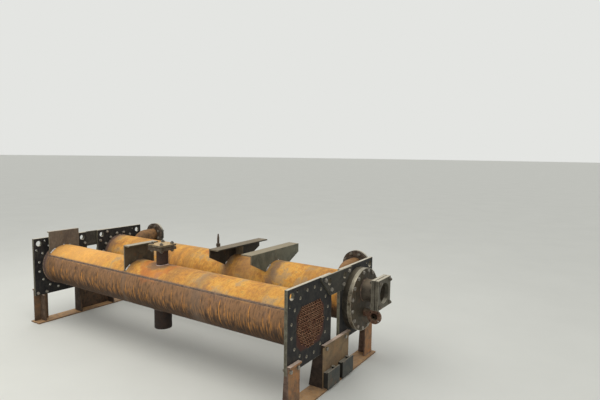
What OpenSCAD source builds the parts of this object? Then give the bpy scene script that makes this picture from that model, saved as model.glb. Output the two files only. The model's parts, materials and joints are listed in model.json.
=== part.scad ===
// Pair of shell and tube heat exchangers for a water chiller: a condenser and an evaporator,
// side by side on one welded stand. X runs along the shells, Y from the condenser to the
// evaporator, Z up. The origin is on the floor, under the middle of the whole pair.

/* [Main sizes] */
// Length over the outer faces of the tube sheets
sheets_length = 2745; // [2200:5:3600]
// Side of a square tube sheet
sheet_side = 512; // [480:1:640]
// Thickness of a tube sheet
sheet_thickness = 22; // [16:1:32]
// Gap between the two tube sheets of one end
sheet_gap = 118; // [80:1:180]
// Height of the tube sheets' lower edge above the floor
sheet_height = 243; // [200:1:400]

/* [Shells] */
// Outside diameter of both shells
shell_outside = 355.6; // [320:0.1:368]
// Wall of both shells
shell_wall = 8; // [6:0.5:12]

/* [Tube sheet holes] */
// Distance of the water box's bolt circle outside the shell
bolt_circle_gap = 37.2; // [34:0.1:44]
// Number of bolts on the circle
bolt_count = 16; // [12:4:20]
// Diameter of the bolt holes
bolt_hole = 18; // [14:1:22]
// Diameter of the lifting holes in the upper corners
lifting_hole = 48; // [30:1:60]
// Distance of a lifting hole from both edges
lifting_inset = 46; // [40:1:60]
// Distance of a tie bolt from the nearer edge
tie_bolt_near = 25; // [22:1:32]
// Distance of a tie bolt from the other edge
tie_bolt_far = 103; // [96:1:120]

/* [Tubes] */
// Outside diameter of a tube
tube_outside = 19; // [14:0.5:20]
// Wall of a tube
tube_wall = 1.5; // [0.8:0.1:2.5]
// Distance from tube to tube
tube_pitch = 25; // [24:0.5:30]
// Radius that the outermost tube centres stay within
tube_field = 152; // [120:1:156]
// Height of the top row of tubes above the condenser's axis
tube_top = 112; // [60:1:140]
// Length of a tube that stands out of each tube sheet
tube_proud = 3; // [1:0.5:6]
// Clearance between a tube and its hole, on the radius
tube_clearance = 0.1; // [0.05:0.05:0.3]

/* [Tie plates] */
// Thickness of a tie plate
tie_thickness = 12; // [8:1:20]
// Length of a tie plate's upper edge
tie_top = 410; // [400:1:440]
// Length of a tie plate's lower edge
tie_bottom = 178; // [170:1:260]
// Height of a tie plate
tie_height = 142; // [130:1:170]
// Height of a tie plate's upright end edges
tie_edge = 22; // [12:1:30]

/* [Stand] */
// Width of an outer leg
leg_width = 122; // [100:1:150]
// Thickness of the legs' plates
leg_plate = 12; // [8:1:16]
// Height of the legs above the tube sheets' lower edge
leg_overlap = 58; // [45:1:80]
// Width of the folded lip at a leg's top
leg_lip = 14; // [8:1:30]
// Thickness of the folded lip
lip_thickness = 12; // [6:1:14]
// Height of the leg bolts above the tube sheets' lower edge
leg_bolt_rise = 22; // [20:1:28]
// Distance of a leg bolt from the leg's edge
leg_bolt_inset = 22; // [18:1:26]
// Depth of a middle leg's ribs at their foot
rib_foot = 92; // [60:1:120]
// Depth of an outer leg's rib at its foot
outer_rib_foot = 70; // [60:1:120]
// Depth of a leg's rib at its top
rib_top = 58; // [40:1:100]
// Width of the middle leg
middle_width = 360; // [320:1:380]
// Distance of the middle leg's bolts from mid-width
middle_bolt = 130; // [100:1:145]
// Width of a base bar
bar_width = 125; // [100:1:160]
// Thickness of a base bar
bar_thickness = 10; // [8:1:16]
// Length of a base bar beyond the tube sheets at each side
bar_beyond = 12; // [0:1:40]
// Distance of a base bar's outer edge from the legs' faces
bar_front = 31; // [15:1:60]

/* [Lug blocks] */
// Width of a lug block
lug_width = 154; // [120:1:160]
// Height of a lug block's front plate
lug_height = 117; // [80:1:130]
// Depth of a lug block with its front plate
lug_depth = 43; // [30:1:60]
// Gap between the two lug blocks
lug_gap = 42; // [30:1:60]
// Thickness of a lug block's front plate
lug_wall = 9; // [6:1:12]
// Distance that a lug block stands back behind its front plate's edges
lug_inset = 12; // [4:1:20]

/* [Condenser brackets] */
// Length of a condenser bracket
cond_bracket_length = 284; // [240:1:320]
// Height of the condenser brackets' tops above the shell
cond_bracket_height = 135; // [110:1:160]
// Width of the flange of the bracket at the tube sheet
cond_left_flange = 32; // [24:1:70]
// Width of the flange of the middle bracket
cond_middle_flange = 63; // [50:1:90]
// Distance of the left bracket's web from the tube sheet
cond_left_place = 50; // [30:1:90]
// Distance of the middle bracket's web from mid-length
cond_middle_place = 255; // [200:1:300]
// Thickness of the bracket plates
bracket_plate = 10; // [6:1:14]

/* [Evaporator brackets] */
// Length of an evaporator bracket
evap_bracket_length = 640; // [560:1:680]
// Height of the evaporator brackets' tops above the shell
evap_bracket_height = 90; // [70:1:120]
// Width of the evaporator brackets' flanges
evap_flange = 100; // [70:1:120]
// Depth of the evaporator brackets' square ends
evap_end_depth = 70; // [50:1:80]
// Half width of the saddle over the shell
evap_saddle = 140; // [120:1:150]
// Distance of the first bracket's web from mid-length
evap_first_place = 212; // [180:1:260]
// Distance of the second bracket's web from mid-length
evap_second_place = 648; // [600:1:720]
// Distance of the evaporator brackets' rib from their flange's edge
evap_rib_inset = 10; // [5:1:30]

/* [Gas inlet] */
// Distance of the gas inlet and the liquid outlet from mid-length
inlet_place = 22; // [0:1:80]
// Outside diameter of the gas inlet pipe
inlet_outside = 89; // [76:1:114]
// Wall of the gas inlet pipe
inlet_wall = 5; // [3:0.5:8]
// Height of the cover's top above the shell
inlet_height = 157; // [120:1:200]
// Side of the square flange
flange_side = 148; // [130:1:180]
// Thickness of the square flange
flange_thickness = 24; // [16:1:30]
// Thickness of the cover
cover_thickness = 18; // [12:1:24]
// Distance of a flange bolt from both edges
flange_bolt_inset = 22; // [18:1:26]

/* [Liquid outlet] */
// Outside diameter of the liquid outlet stub
outlet_outside = 133; // [108:1:140]
// Wall of the liquid outlet stub
outlet_wall = 6; // [4:0.5:8]
// Length of the stub below the shell
outlet_length = 140; // [80:1:180]

/* [Evaporator heads] */
// Distance of a head's bolt circle outside the shell
head_circle_gap = 28.2; // [26:0.1:32]
// Distance of a head's edge from its bolt circle
head_rim = 19; // [16:1:26]
// Thickness of the ring between a tube sheet and its head
ring_thickness = 40; // [30:1:60]
// Thickness of a head
head_thickness = 28; // [20:1:36]
// Distance of the ring's bore inside the shell's outside
head_hollow_inset = 4; // [1:1:12]

/* [Suction nozzle] */
// Outside diameter of the suction pipe
suction_outside = 159; // [133:1:168]
// Wall of the suction pipe
suction_wall = 6; // [4:0.5:8]
// Length of the suction pipe from the head to its flange
suction_length = 94; // [60:1:160]
// Distance of the suction nozzle above the evaporator's axis
suction_up = 69; // [60:1:80]
// Side of the suction nozzle's square flanges
suction_flange_side = 210; // [200:1:240]
// Thickness of one suction flange
suction_flange = 27; // [18:1:32]

/* [Liquid nozzle] */
// Outside diameter of the liquid nozzle
liquid_outside = 60; // [48:1:64]
// Wall of the liquid nozzle
liquid_wall = 4; // [3:0.5:6]
// Radius of the liquid nozzle's bend
liquid_bend = 45; // [38:1:60]
// Straight length of the liquid nozzle before its bend
liquid_straight = 55; // [30:1:90]
// Distance of the liquid nozzle below the evaporator's axis
liquid_down = 97; // [94:1:115]
// Diameter of the liquid nozzle's flange
liquid_flange_outside = 104; // [96:1:106]
// Thickness of the liquid nozzle's flange
liquid_flange = 16; // [10:1:24]
// Diameter of the liquid flange's bolt holes
liquid_bolt_hole = 13; // [9:1:14]

/* [Water nozzles] */
// Outside diameter of a water nozzle
water_outside = 114; // [89:1:120]
// Wall of a water nozzle
water_wall = 5; // [4:0.5:8]
// Angle at which a water nozzle leaves the shell, above level
water_angle = 45; // [30:1:60]
// Length of a water nozzle before its bend
water_stub = 10; // [5:1:30]
// Radius of a water nozzle's bend
water_bend = 100; // [80:1:140]
// Length of a water nozzle after its bend
water_straight = 125; // [90:1:160]
// Distance of a water nozzle from the tube sheet's inner face
water_place = 150; // [125:1:260]
// Distance of a water flange's edge from its bolt circle
water_rim = 20; // [17:1:26]
// Thickness of a water flange
water_flange = 24; // [16:1:30]
// Thickness of a water nozzle's cover
water_cover = 22; // [12:1:30]
// Distance of a water flange's bolt circle outside its pipe
water_circle_gap = 33; // [28:1:40]
// Number of bolts of a water flange
water_bolt_count = 8; // [4:4:12]

/* [Safety valve] */
// Distance of the safety valve from mid-length
valve_place = 15; // [-100:1:100]
// Height of the safety valve above the shell
valve_height = 150; // [100:1:180]
// Diameter of the safety valve's socket
valve_socket = 44; // [40:1:52]
// Height of the safety valve's socket
valve_socket_height = 28; // [20:1:36]
// Diameter of the safety valve's neck and round nut
valve_neck = 28; // [24:1:32]
// Height of the safety valve's neck
valve_neck_height = 12; // [6:1:18]
// Height of the safety valve's nut
valve_nut_height = 24; // [16:1:30]
// Diameter of the safety valve's body
valve_body = 20; // [16:1:24]

/* [Fasteners] */
// Height of the raised face that keeps two flanges apart
face_height = 3; // [2:0.5:5]
// Thread diameter of the bolts
bolt_size = 16; // [12:1:18]
// Width across flats of a bolt head or nut
bolt_flats = 24; // [20:1:27]
// Height of a bolt head
bolt_head = 10; // [8:1:14]
// Thickness of a nut
nut_height = 13; // [10:1:16]
// Length of thread beyond a nut
thread_beyond = 6; // [2:1:12]

/* [Hidden] */

rust = [0.62, 0.40, 0.20];
scale_black = [0.20, 0.20, 0.20];
steel_grey = [0.36, 0.37, 0.34];
leg_brown = [0.42, 0.32, 0.25];
seat = 0.3;
slack = 1;
weld_gap = 0.3;
pipe_back = 2;
round_facets = 96;
fine_facets = 32;

shell_radius = shell_outside / 2;
bolt_circle = shell_outside + 2 * bolt_circle_gap;
head_bolt_circle = shell_outside + 2 * head_circle_gap;
head_outside = head_bolt_circle + 2 * head_rim;
water_bolt_circle = water_outside + 2 * water_circle_gap;
water_flange_outside = water_bolt_circle + 2 * water_rim;
axis_height = sheet_height + sheet_side / 2;
axis_offset = (sheet_side + sheet_gap) / 2;
sheet_outer = sheets_length / 2;
sheet_inner = sheet_outer - sheet_thickness;
sheet_top = sheet_height + sheet_side;
shell_top = axis_height + shell_radius;
bolt_radius = bolt_size / 2;
leg_top = sheet_height + leg_overlap;
leg_face = sheet_outer + leg_plate;
leg_bolt_height = sheet_height + leg_bolt_rise;
stand_width = 2 * sheet_side + sheet_gap;
ring_face = sheet_outer + ring_thickness;
head_face = ring_face + head_thickness;
suction_face = head_face + suction_length + suction_flange;
stud_reach = nut_height + thread_beyond;
water_turn_out = shell_radius + water_stub;
water_face = water_turn_out * cos(water_angle) + water_bend * sin(water_angle)
    + water_straight;

// Reach of the whole pair to the left, right, near and far, for the place of the origin
reach_left = max(leg_face + max(leg_lip, lug_depth, bar_front), head_face + bolt_head);
reach_right = suction_face + suction_flange + stud_reach;
reach_near = stand_width / 2 + bar_beyond;
reach_far = max(reach_near, axis_offset + water_face + water_cover + stud_reach);
middle_x = (reach_right - reach_left) / 2;
middle_y = (reach_far - reach_near) / 2;

// Puts children, drawn about mid-length and mid-width, where the origin is under the middle
// of the whole pair
module placed() {
    translate([-middle_x, -middle_y, 0]) children();
}

// Copies children to the end given by side: -1 for left, 1 for right
module at_end(side) {
    mirror([side < 0 ? 1 : 0, 0, 0]) children();
}

// Cylinder along X from x_from to x_to
module rod_x(radius, x_from, x_to, facets = fine_facets) {
    translate([x_from, 0, 0])
        rotate([0, 90, 0]) cylinder(h = x_to - x_from, r = radius, $fn = facets);
}

// Hexagon along X from x_from to x_to
module hexagon_x(flats, x_from, x_to) {
    translate([x_from, 0, 0])
        rotate([0, 90, 0]) cylinder(h = x_to - x_from, d = flats / cos(30), $fn = 6);
}

// Bolt along X through plates from x_in to x_out, head outside, nut inside
module bolt_x(x_in, x_out) {
    hexagon_x(bolt_flats, x_out, x_out + bolt_head);
    rod_x(bolt_radius, x_in - stud_reach, x_out);
    hexagon_x(bolt_flats, x_in - nut_height, x_in);
}

// Centre lines of the corner bolts, lifting holes and leg bolts of one sheet, from its centre
half_sheet = sheet_side / 2;
corner_bolts = [
    for (s = [-1, 1]) each [
        [s * (half_sheet - tie_bolt_near), half_sheet - tie_bolt_far],
        [s * (half_sheet - tie_bolt_far), half_sheet - tie_bolt_near]
    ]
];
leg_bolt_row = leg_bolt_height - axis_height;
leg_bolt_places = [
    [-half_sheet + leg_bolt_inset, leg_bolt_row],
    [-half_sheet + leg_width - leg_bolt_inset, leg_bolt_row],
    [axis_offset - middle_bolt, leg_bolt_row]
];

// Tube centres in staggered rows inside a round field with a flat top
tube_row = tube_pitch * sin(60);
field_rows = floor((tube_top + tube_field) / tube_row);
field_steps = ceil(tube_field / tube_pitch);
tube_places = [
    for (row = [0 : field_rows])
        for (step = [-field_steps : field_steps])
            let (p = [(step + (row % 2) / 2) * tube_pitch, tube_top - row * tube_row])
                if (norm(p) <= tube_field) p
];

// Outline of the condenser's tube sheet in Y and Z about the shell's axis, with every hole
// but the tubes'. The other tube sheet of the pair is its mirror image
module sheet_outline(circle_diameter) {
    difference() {
        square(sheet_side, center = true);
        for (k = [0 : bolt_count - 1])
            rotate((k + 0.5) * 360 / bolt_count)
                translate([circle_diameter / 2, 0]) circle(d = bolt_hole, $fn = fine_facets);
        for (s = [-1, 1])
            translate([s * (half_sheet - lifting_inset), half_sheet - lifting_inset])
                circle(d = lifting_hole, $fn = fine_facets);
        for (p = corner_bolts)
            translate(p) circle(d = bolt_hole, $fn = fine_facets);
        for (p = leg_bolt_places)
            translate(p) circle(d = bolt_hole, $fn = fine_facets);
    }
}

// Stands an outline drawn in Y and Z up between x_from and x_to
module upright(x_from, x_to) {
    translate([x_from, 0, 0])
        rotate([90, 0, 90]) linear_extrude(height = x_to - x_from) children();
}

// Tube sheet at the right end of the shell on the given side: -1 condenser, 1 evaporator
module tube_sheet(side, with_tubes) {
    translate([0, side * axis_offset, axis_height])
        upright(sheet_inner, sheet_outer)
            difference() {
                mirror([side > 0 ? 1 : 0, 0])
                    sheet_outline(with_tubes ? bolt_circle : head_bolt_circle);
                if (with_tubes)
                    for (p = tube_places)
                        translate(p)
                            circle(r = tube_outside / 2 + tube_clearance, $fn = fine_facets);
            }
}

module condenser_tube_sheet_left() {
    color(scale_black) placed() at_end(-1) tube_sheet(-1, true);
}

module condenser_tube_sheet_right() {
    color(scale_black) placed() tube_sheet(-1, true);
}

module evaporator_tube_sheet_left() {
    color(scale_black) placed() at_end(-1) tube_sheet(1, false);
}

module evaporator_tube_sheet_right() {
    color(scale_black) placed() tube_sheet(1, false);
}

// Straight shell between the tube sheets
module shell_pipe() {
    difference() {
        rod_x(shell_radius, -sheet_inner, sheet_inner, round_facets);
        rod_x(shell_radius - shell_wall, -sheet_inner - slack, sheet_inner + slack, round_facets);
    }
}

module condenser_shell() {
    color(rust)
        placed() translate([0, -axis_offset, axis_height])
            difference() {
                shell_pipe();
                translate([inlet_place, 0, 0])
                    cylinder(h = shell_radius + slack, r = inlet_outside / 2 - inlet_wall,
                        $fn = fine_facets);
                translate([inlet_place, 0, -shell_radius - slack])
                    cylinder(h = shell_radius, r = outlet_outside / 2 - outlet_wall,
                        $fn = fine_facets);
            }
}

module evaporator_shell() {
    color(rust)
        placed() translate([0, axis_offset, axis_height])
            difference() {
                shell_pipe();
                for (s = [-1, 1])
                    translate([s * (sheet_inner - water_place), 0, 0])
                        rotate([-90 + water_angle, 0, 0])
                            cylinder(h = shell_radius + slack,
                                r = water_outside / 2 - water_wall, $fn = fine_facets);
            }
}

// Tubes open at both ends, rolled into the condenser's tube sheets
module condenser_tubes() {
    tube_end = sheet_outer + tube_proud;
    color([0.52, 0.30, 0.20])
        placed() translate([0, -axis_offset, axis_height])
            for (p = tube_places)
                translate([0, p[0], p[1]])
                    difference() {
                        rod_x(tube_outside / 2, -tube_end, tube_end);
                        rod_x(tube_outside / 2 - tube_wall, -tube_end - slack, tube_end + slack);
                    }
}

// Tie plate across the upper inner corners of two tube sheets, with holes over theirs
module tie_plate() {
    hole_y = sheet_gap / 2 + lifting_inset;
    near_y = sheet_gap / 2 + tie_bolt_near;
    far_y = sheet_gap / 2 + tie_bolt_far;
    upright(sheet_outer, sheet_outer + tie_thickness)
        difference() {
            polygon([
                [-tie_top / 2, sheet_top],
                [-tie_top / 2, sheet_top - tie_edge],
                [-tie_bottom / 2, sheet_top - tie_height],
                [tie_bottom / 2, sheet_top - tie_height],
                [tie_top / 2, sheet_top - tie_edge],
                [tie_top / 2, sheet_top]
            ]);
            for (s = [-1, 1]) {
                translate([s * hole_y, sheet_top - lifting_inset])
                    circle(d = lifting_hole, $fn = fine_facets);
                translate([s * near_y, sheet_top - tie_bolt_far])
                    circle(d = bolt_hole, $fn = fine_facets);
                translate([s * far_y, sheet_top - tie_bolt_near])
                    circle(d = bolt_hole, $fn = fine_facets);
            }
        }
}

module tie_plate_left() {
    color(steel_grey) placed() at_end(-1) tie_plate();
}

module tie_plate_right() {
    color(steel_grey) placed() tie_plate();
}

module tie_bolts_right_end() {
    near_y = sheet_gap / 2 + tie_bolt_near;
    far_y = sheet_gap / 2 + tie_bolt_far;
    for (s = [-1, 1]) {
        translate([0, s * near_y, sheet_top - tie_bolt_far])
            bolt_x(sheet_inner, sheet_outer + tie_thickness);
        translate([0, s * far_y, sheet_top - tie_bolt_near])
            bolt_x(sheet_inner, sheet_outer + tie_thickness);
    }
}

module tie_bolts() {
    color(steel_grey)
        placed() for (end = [-1, 1])
            at_end(end) tie_bolts_right_end();
}

// Plate of a leg from y_from to y_to with its lip folded outwards and its bolt holes
module leg_plate_with_lip(y_from, y_to, bolts) {
    difference() {
        union() {
            upright(sheet_outer, leg_face)
                translate([y_from, bar_thickness]) square([y_to - y_from, leg_top - bar_thickness]);
            upright(sheet_outer, leg_face + leg_lip)
                translate([y_from, leg_top - lip_thickness])
                    square([y_to - y_from, lip_thickness]);
        }
        for (y = bolts)
            translate([0, y, leg_bolt_height])
                rod_x(bolt_hole / 2, sheet_outer - slack, leg_face + slack);
    }
}

// Tapered rib behind a leg's plate, square to it, its outer face at y_face
module leg_rib(y_face, foot) {
    translate([0, y_face, 0])
        rotate([90, 0, 0]) linear_extrude(height = leg_plate)
            polygon([
                [sheet_outer, bar_thickness],
                [sheet_outer - foot, bar_thickness],
                [sheet_outer - rib_top, sheet_height - seat],
                [sheet_outer, sheet_height - seat]
            ]);
}

leg_edge = stand_width / 2;
leg_near_bolts = [-leg_edge + leg_bolt_inset, -leg_edge + leg_width - leg_bolt_inset];
middle_bolts = [-middle_bolt, middle_bolt];

// Outer leg on the condenser's side, a plate with a rib along its middle
module outer_leg() {
    leg_plate_with_lip(-leg_edge, -leg_edge + leg_width, leg_near_bolts);
    leg_rib(-leg_edge + (leg_width + leg_plate) / 2, outer_rib_foot);
}

module leg_right_near() {
    color(leg_brown) placed() outer_leg();
}

module leg_right_far() {
    color(leg_brown) placed() mirror([0, 1, 0]) outer_leg();
}

module leg_left_near() {
    color(leg_brown) placed() at_end(-1) outer_leg();
}

module leg_left_far() {
    color(leg_brown) placed() at_end(-1) mirror([0, 1, 0]) outer_leg();
}

// Middle leg, under both tube sheets, with a rib at each edge
module middle_leg() {
    leg_plate_with_lip(-middle_width / 2, middle_width / 2, middle_bolts);
    leg_rib(-middle_width / 2 + leg_plate, rib_foot);
    leg_rib(middle_width / 2, rib_foot);
}

module leg_left_middle() {
    color(leg_brown) placed() at_end(-1) middle_leg();
}

module leg_right_middle() {
    color(leg_brown) placed() middle_leg();
}

module leg_bolts_right_end() {
    for (y = concat(leg_near_bolts, middle_bolts, -leg_near_bolts))
        translate([0, y, leg_bolt_height]) bolt_x(sheet_inner, leg_face);
}

module leg_bolts() {
    color(steel_grey)
        placed() for (end = [-1, 1])
            at_end(end) leg_bolts_right_end();
}

// Flat bar under the legs of one end
module base_bar() {
    bar_length = stand_width + 2 * bar_beyond;
    bar_outer = leg_face + bar_front;
    translate([bar_outer - bar_width, -bar_length / 2, 0])
        cube([bar_width, bar_length, bar_thickness]);
}

module base_bar_left() {
    color([0.55, 0.38, 0.22]) placed() at_end(-1) base_bar();
}

module base_bar_right() {
    color([0.55, 0.38, 0.22]) placed() base_bar();
}

// Two blocks on the middle leg's face, each behind a larger front plate, with a nut on top
module lug_boxes_right() {
    block_depth = lug_depth - lug_wall;
    block_width = lug_width - 2 * lug_inset;
    block_height = lug_height - lug_inset;
    color([0.25, 0.28, 0.30])
        placed() for (y = [-lug_gap / 2 - lug_width, lug_gap / 2])
            translate([leg_face, y, bar_thickness]) {
                translate([block_depth, 0, 0]) cube([lug_wall, lug_width, lug_height]);
                translate([0, lug_inset, 0]) cube([block_depth, block_width, block_height]);
                translate([block_depth / 2, lug_inset + 3 * block_width / 4, block_height])
                    cylinder(h = nut_height, d = bolt_flats / cos(30), $fn = 6);
            }
}

// Bracket on the condenser: a web cut to the shell, with a flange along its top edge.
// The web's plain face is at x_face and the flange points to the given side
module condenser_bracket(x_face, flange, flange_side_sign) {
    top = shell_top + cond_bracket_height;
    half = cond_bracket_length / 2;
    foot = axis_height + sqrt(pow(shell_radius, 2) - pow(half, 2));
    translate([x_face, -axis_offset, 0])
        mirror([flange_side_sign < 0 ? 1 : 0, 0, 0]) {
            upright(0, bracket_plate)
                difference() {
                    translate([-half, foot]) square([cond_bracket_length, top - foot]);
                    translate([0, axis_height])
                        circle(r = shell_radius + seat, $fn = round_facets);
                }
            translate([0, -half, top - bracket_plate])
                cube([flange, cond_bracket_length, bracket_plate]);
        }
}

module condenser_bracket_left() {
    color(steel_grey)
        placed() condenser_bracket(-sheet_inner + cond_left_place, cond_left_flange, -1);
}

module condenser_bracket_middle() {
    color(steel_grey)
        placed() condenser_bracket(-cond_middle_place, cond_middle_flange, 1);
}

// Bracket on the evaporator: a wide web with sloping lower edges and a rib in the middle
module evaporator_bracket(x_face, flange_side_sign) {
    top = shell_top + evap_bracket_height;
    half = evap_bracket_length / 2;
    tip = axis_height + sqrt(pow(shell_radius, 2) - pow(evap_saddle, 2));
    translate([x_face, axis_offset, 0])
        mirror([flange_side_sign < 0 ? 1 : 0, 0, 0]) {
            upright(0, bracket_plate)
                difference() {
                    polygon([
                        [-half, top], [-half, top - evap_end_depth],
                        [-evap_saddle, tip], [evap_saddle, tip],
                        [half, top - evap_end_depth], [half, top]
                    ]);
                    translate([0, axis_height])
                        circle(r = shell_radius + seat, $fn = round_facets);
                }
            translate([0, -half, top - bracket_plate])
                cube([evap_flange, evap_bracket_length, bracket_plate]);
            translate([0, -bracket_plate / 2, shell_top + seat])
                cube([evap_flange - evap_rib_inset, bracket_plate,
                    evap_bracket_height - bracket_plate / 2]);
        }
}

module evaporator_bracket_first() {
    color(steel_grey) placed() evaporator_bracket(evap_first_place, 1);
}

module evaporator_bracket_second() {
    color(steel_grey) placed() evaporator_bracket(evap_second_place, -1);
}

// Moves children to the gas inlet's axis, at the given height
module at_inlet(height) {
    translate([inlet_place, -axis_offset, height]) children();
}

inlet_top = shell_top + inlet_height;
inlet_face = inlet_top - cover_thickness;
inlet_flange_low = inlet_face - flange_thickness;
flange_bolt_place = flange_side / 2 - flange_bolt_inset;

// Round pipe fitted to the shell's outside by a saddle cut
module gas_inlet_pipe() {
    color(rust)
        placed() difference() {
            at_inlet(axis_height)
                cylinder(h = inlet_face - axis_height - pipe_back, r = inlet_outside / 2,
                    $fn = round_facets);
            at_inlet(axis_height - slack)
                cylinder(h = inlet_face - axis_height + 2 * slack,
                    r = inlet_outside / 2 - inlet_wall, $fn = round_facets);
            translate([0, -axis_offset, axis_height])
                rod_x(shell_radius, inlet_place - inlet_outside, inlet_place + inlet_outside,
                    round_facets);
        }
}

// Square plate with four bolt holes and an optional bore, from z = 0 up. Its raised face is on
// top where face is 1 and below where it is 0
module square_flange(side_length, thickness, bolt_place, hole, bore_radius, face) {
    difference() {
        union() {
            translate([-side_length / 2, -side_length / 2, (1 - face) * face_height])
                cube([side_length, side_length, thickness - face_height]);
            cylinder(h = thickness, r = bolt_place * sqrt(2) - hole, $fn = round_facets);
        }
        for (x = [-1, 1])
            for (y = [-1, 1])
                translate([x * bolt_place, y * bolt_place, -slack])
                    cylinder(h = thickness + 2 * slack, d = hole, $fn = fine_facets);
        if (bore_radius > 0)
            translate([0, 0, -slack])
                cylinder(h = thickness + 2 * slack, r = bore_radius, $fn = round_facets);
    }
}

module gas_inlet_flange() {
    color(steel_grey)
        placed() at_inlet(inlet_flange_low)
            square_flange(flange_side, flange_thickness, flange_bolt_place, bolt_hole,
                inlet_outside / 2 + weld_gap, 1);
}

module gas_inlet_cover() {
    color(steel_grey)
        placed() at_inlet(inlet_face)
            square_flange(flange_side, cover_thickness, flange_bolt_place, bolt_hole, 0, 0);
}

// Stud through a grip that starts at z = 0, with a nut at each end
module stud(grip) {
    translate([0, 0, -stud_reach])
        cylinder(h = grip + 2 * stud_reach, r = bolt_radius, $fn = fine_facets);
    for (low = [-nut_height, grip])
        translate([0, 0, low])
            cylinder(h = nut_height, d = bolt_flats / cos(30), $fn = 6);
}

module gas_inlet_bolts() {
    color(steel_grey)
        placed() for (x = [-1, 1])
            for (y = [-1, 1])
                at_inlet(inlet_flange_low)
                    translate([x * flange_bolt_place, y * flange_bolt_place, 0])
                        stud(flange_thickness + cover_thickness);
}

module liquid_outlet_stub() {
    stub_low = axis_height - shell_radius - outlet_length;
    stub_radius = outlet_outside / 2;
    color(rust)
        placed() difference() {
            at_inlet(stub_low)
                cylinder(h = axis_height - stub_low, r = stub_radius, $fn = round_facets);
            at_inlet(stub_low - slack)
                cylinder(h = axis_height - stub_low + 2 * slack, r = stub_radius - outlet_wall,
                    $fn = round_facets);
            translate([0, -axis_offset, axis_height])
                rod_x(shell_radius, inlet_place - outlet_outside, inlet_place + outlet_outside,
                    round_facets);
        }
}

// Round plate with the heads' bolt holes, from x_from to x_to
head_bolt_place = head_bolt_circle / 2;
hollow_radius = shell_radius - head_hollow_inset;

module head_disc(x_from, x_to) {
    difference() {
        rod_x(head_outside / 2, x_from, x_to, round_facets);
        for (k = [0 : bolt_count - 1])
            rotate([(k + 0.5) * 360 / bolt_count, 0, 0])
                translate([0, head_bolt_place, 0])
                    rod_x(bolt_hole / 2, x_from - slack, x_to + slack);
    }
}

// Ring that keeps a head away from its tube sheet, as the room the refrigerant turns in
module evaporator_ring() {
    translate([0, axis_offset, axis_height])
        difference() {
            head_disc(sheet_outer, ring_face);
            rod_x(hollow_radius, sheet_outer - slack, ring_face + slack, round_facets);
        }
}

module evaporator_ring_right() {
    color(scale_black) placed() evaporator_ring();
}

module evaporator_ring_left() {
    color(scale_black) placed() at_end(-1) evaporator_ring();
}

// Flat round head, with bores for the suction and liquid nozzles if asked
module head(with_nozzles) {
    translate([0, axis_offset, axis_height])
        difference() {
            head_disc(ring_face, head_face);
            if (with_nozzles) {
                translate([0, 0, suction_up])
                    rod_x(suction_outside / 2 - suction_wall, ring_face - slack,
                        head_face + slack, round_facets);
                translate([0, 0, -liquid_down])
                    rod_x(liquid_outside / 2 - liquid_wall, ring_face - slack,
                        head_face + slack, round_facets);
            }
        }
}

module evaporator_head_right() {
    color([0.35, 0.29, 0.24]) placed() head(true);
}

module evaporator_head_left() {
    color([0.35, 0.29, 0.24]) placed() at_end(-1) head(false);
}

module head_bolts_right_end() {
    translate([0, axis_offset, axis_height])
        for (k = [0 : bolt_count - 1])
            rotate([(k + 0.5) * 360 / bolt_count, 0, 0])
                translate([0, head_bolt_place, 0])
                    bolt_x(sheet_inner, head_face);
}

module head_bolts() {
    color(steel_grey)
        placed() for (end = [-1, 1])
            at_end(end) head_bolts_right_end();
}

// Moves children, drawn upright, to the suction nozzle's axis at x_from, with Z along X
module at_suction(x_from) {
    translate([x_from, axis_offset, axis_height + suction_up])
        rotate([0, 90, 0]) children();
}

// Round pipe standing on z = 0
module pipe(outside, wall, length) {
    difference() {
        cylinder(h = length, r = outside / 2, $fn = round_facets);
        translate([0, 0, -slack])
            cylinder(h = length + 2 * slack, r = outside / 2 - wall, $fn = round_facets);
    }
}

module suction_pipe() {
    color(steel_grey)
        placed() at_suction(head_face)
            pipe(suction_outside, suction_wall, suction_length + suction_flange - pipe_back);
}

suction_bolt_place = suction_flange_side / 2 - flange_bolt_inset;

module suction_flange_inner() {
    color(steel_grey)
        placed() at_suction(head_face + suction_length)
            square_flange(suction_flange_side, suction_flange, suction_bolt_place, bolt_hole,
                suction_outside / 2 + weld_gap, 1);
}

module suction_flange_outer() {
    color(steel_grey)
        placed() at_suction(suction_face)
            square_flange(suction_flange_side, suction_flange, suction_bolt_place, bolt_hole,
                suction_outside / 2 - suction_wall, 0);
}

module suction_bolts() {
    color(steel_grey)
        placed() at_suction(head_face + suction_length)
            for (x = [-1, 1])
                for (y = [-1, 1])
                    translate([x * suction_bolt_place, y * suction_bolt_place, 0])
                        stud(2 * suction_flange);
}

// Solid of a liquid nozzle's outline: straight out of the head, round a bend, then straight
// towards the condenser
module liquid_rod(radius, spare) {
    translate([head_face - spare, 0, 0])
        rotate([0, 90, 0]) cylinder(h = liquid_straight + spare, r = radius, $fn = round_facets);
    translate([head_face + liquid_straight, -liquid_bend, 0])
        rotate_extrude(angle = 90, $fn = round_facets)
            translate([liquid_bend, 0]) circle(r = radius, $fn = round_facets);
    translate([head_face + liquid_straight + liquid_bend, -liquid_bend, 0])
        rotate([90, 0, 0])
            cylinder(h = liquid_beyond + spare, r = radius, $fn = round_facets);
}

liquid_beyond = liquid_flange;
liquid_bore = liquid_outside / 2 - liquid_wall;

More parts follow.
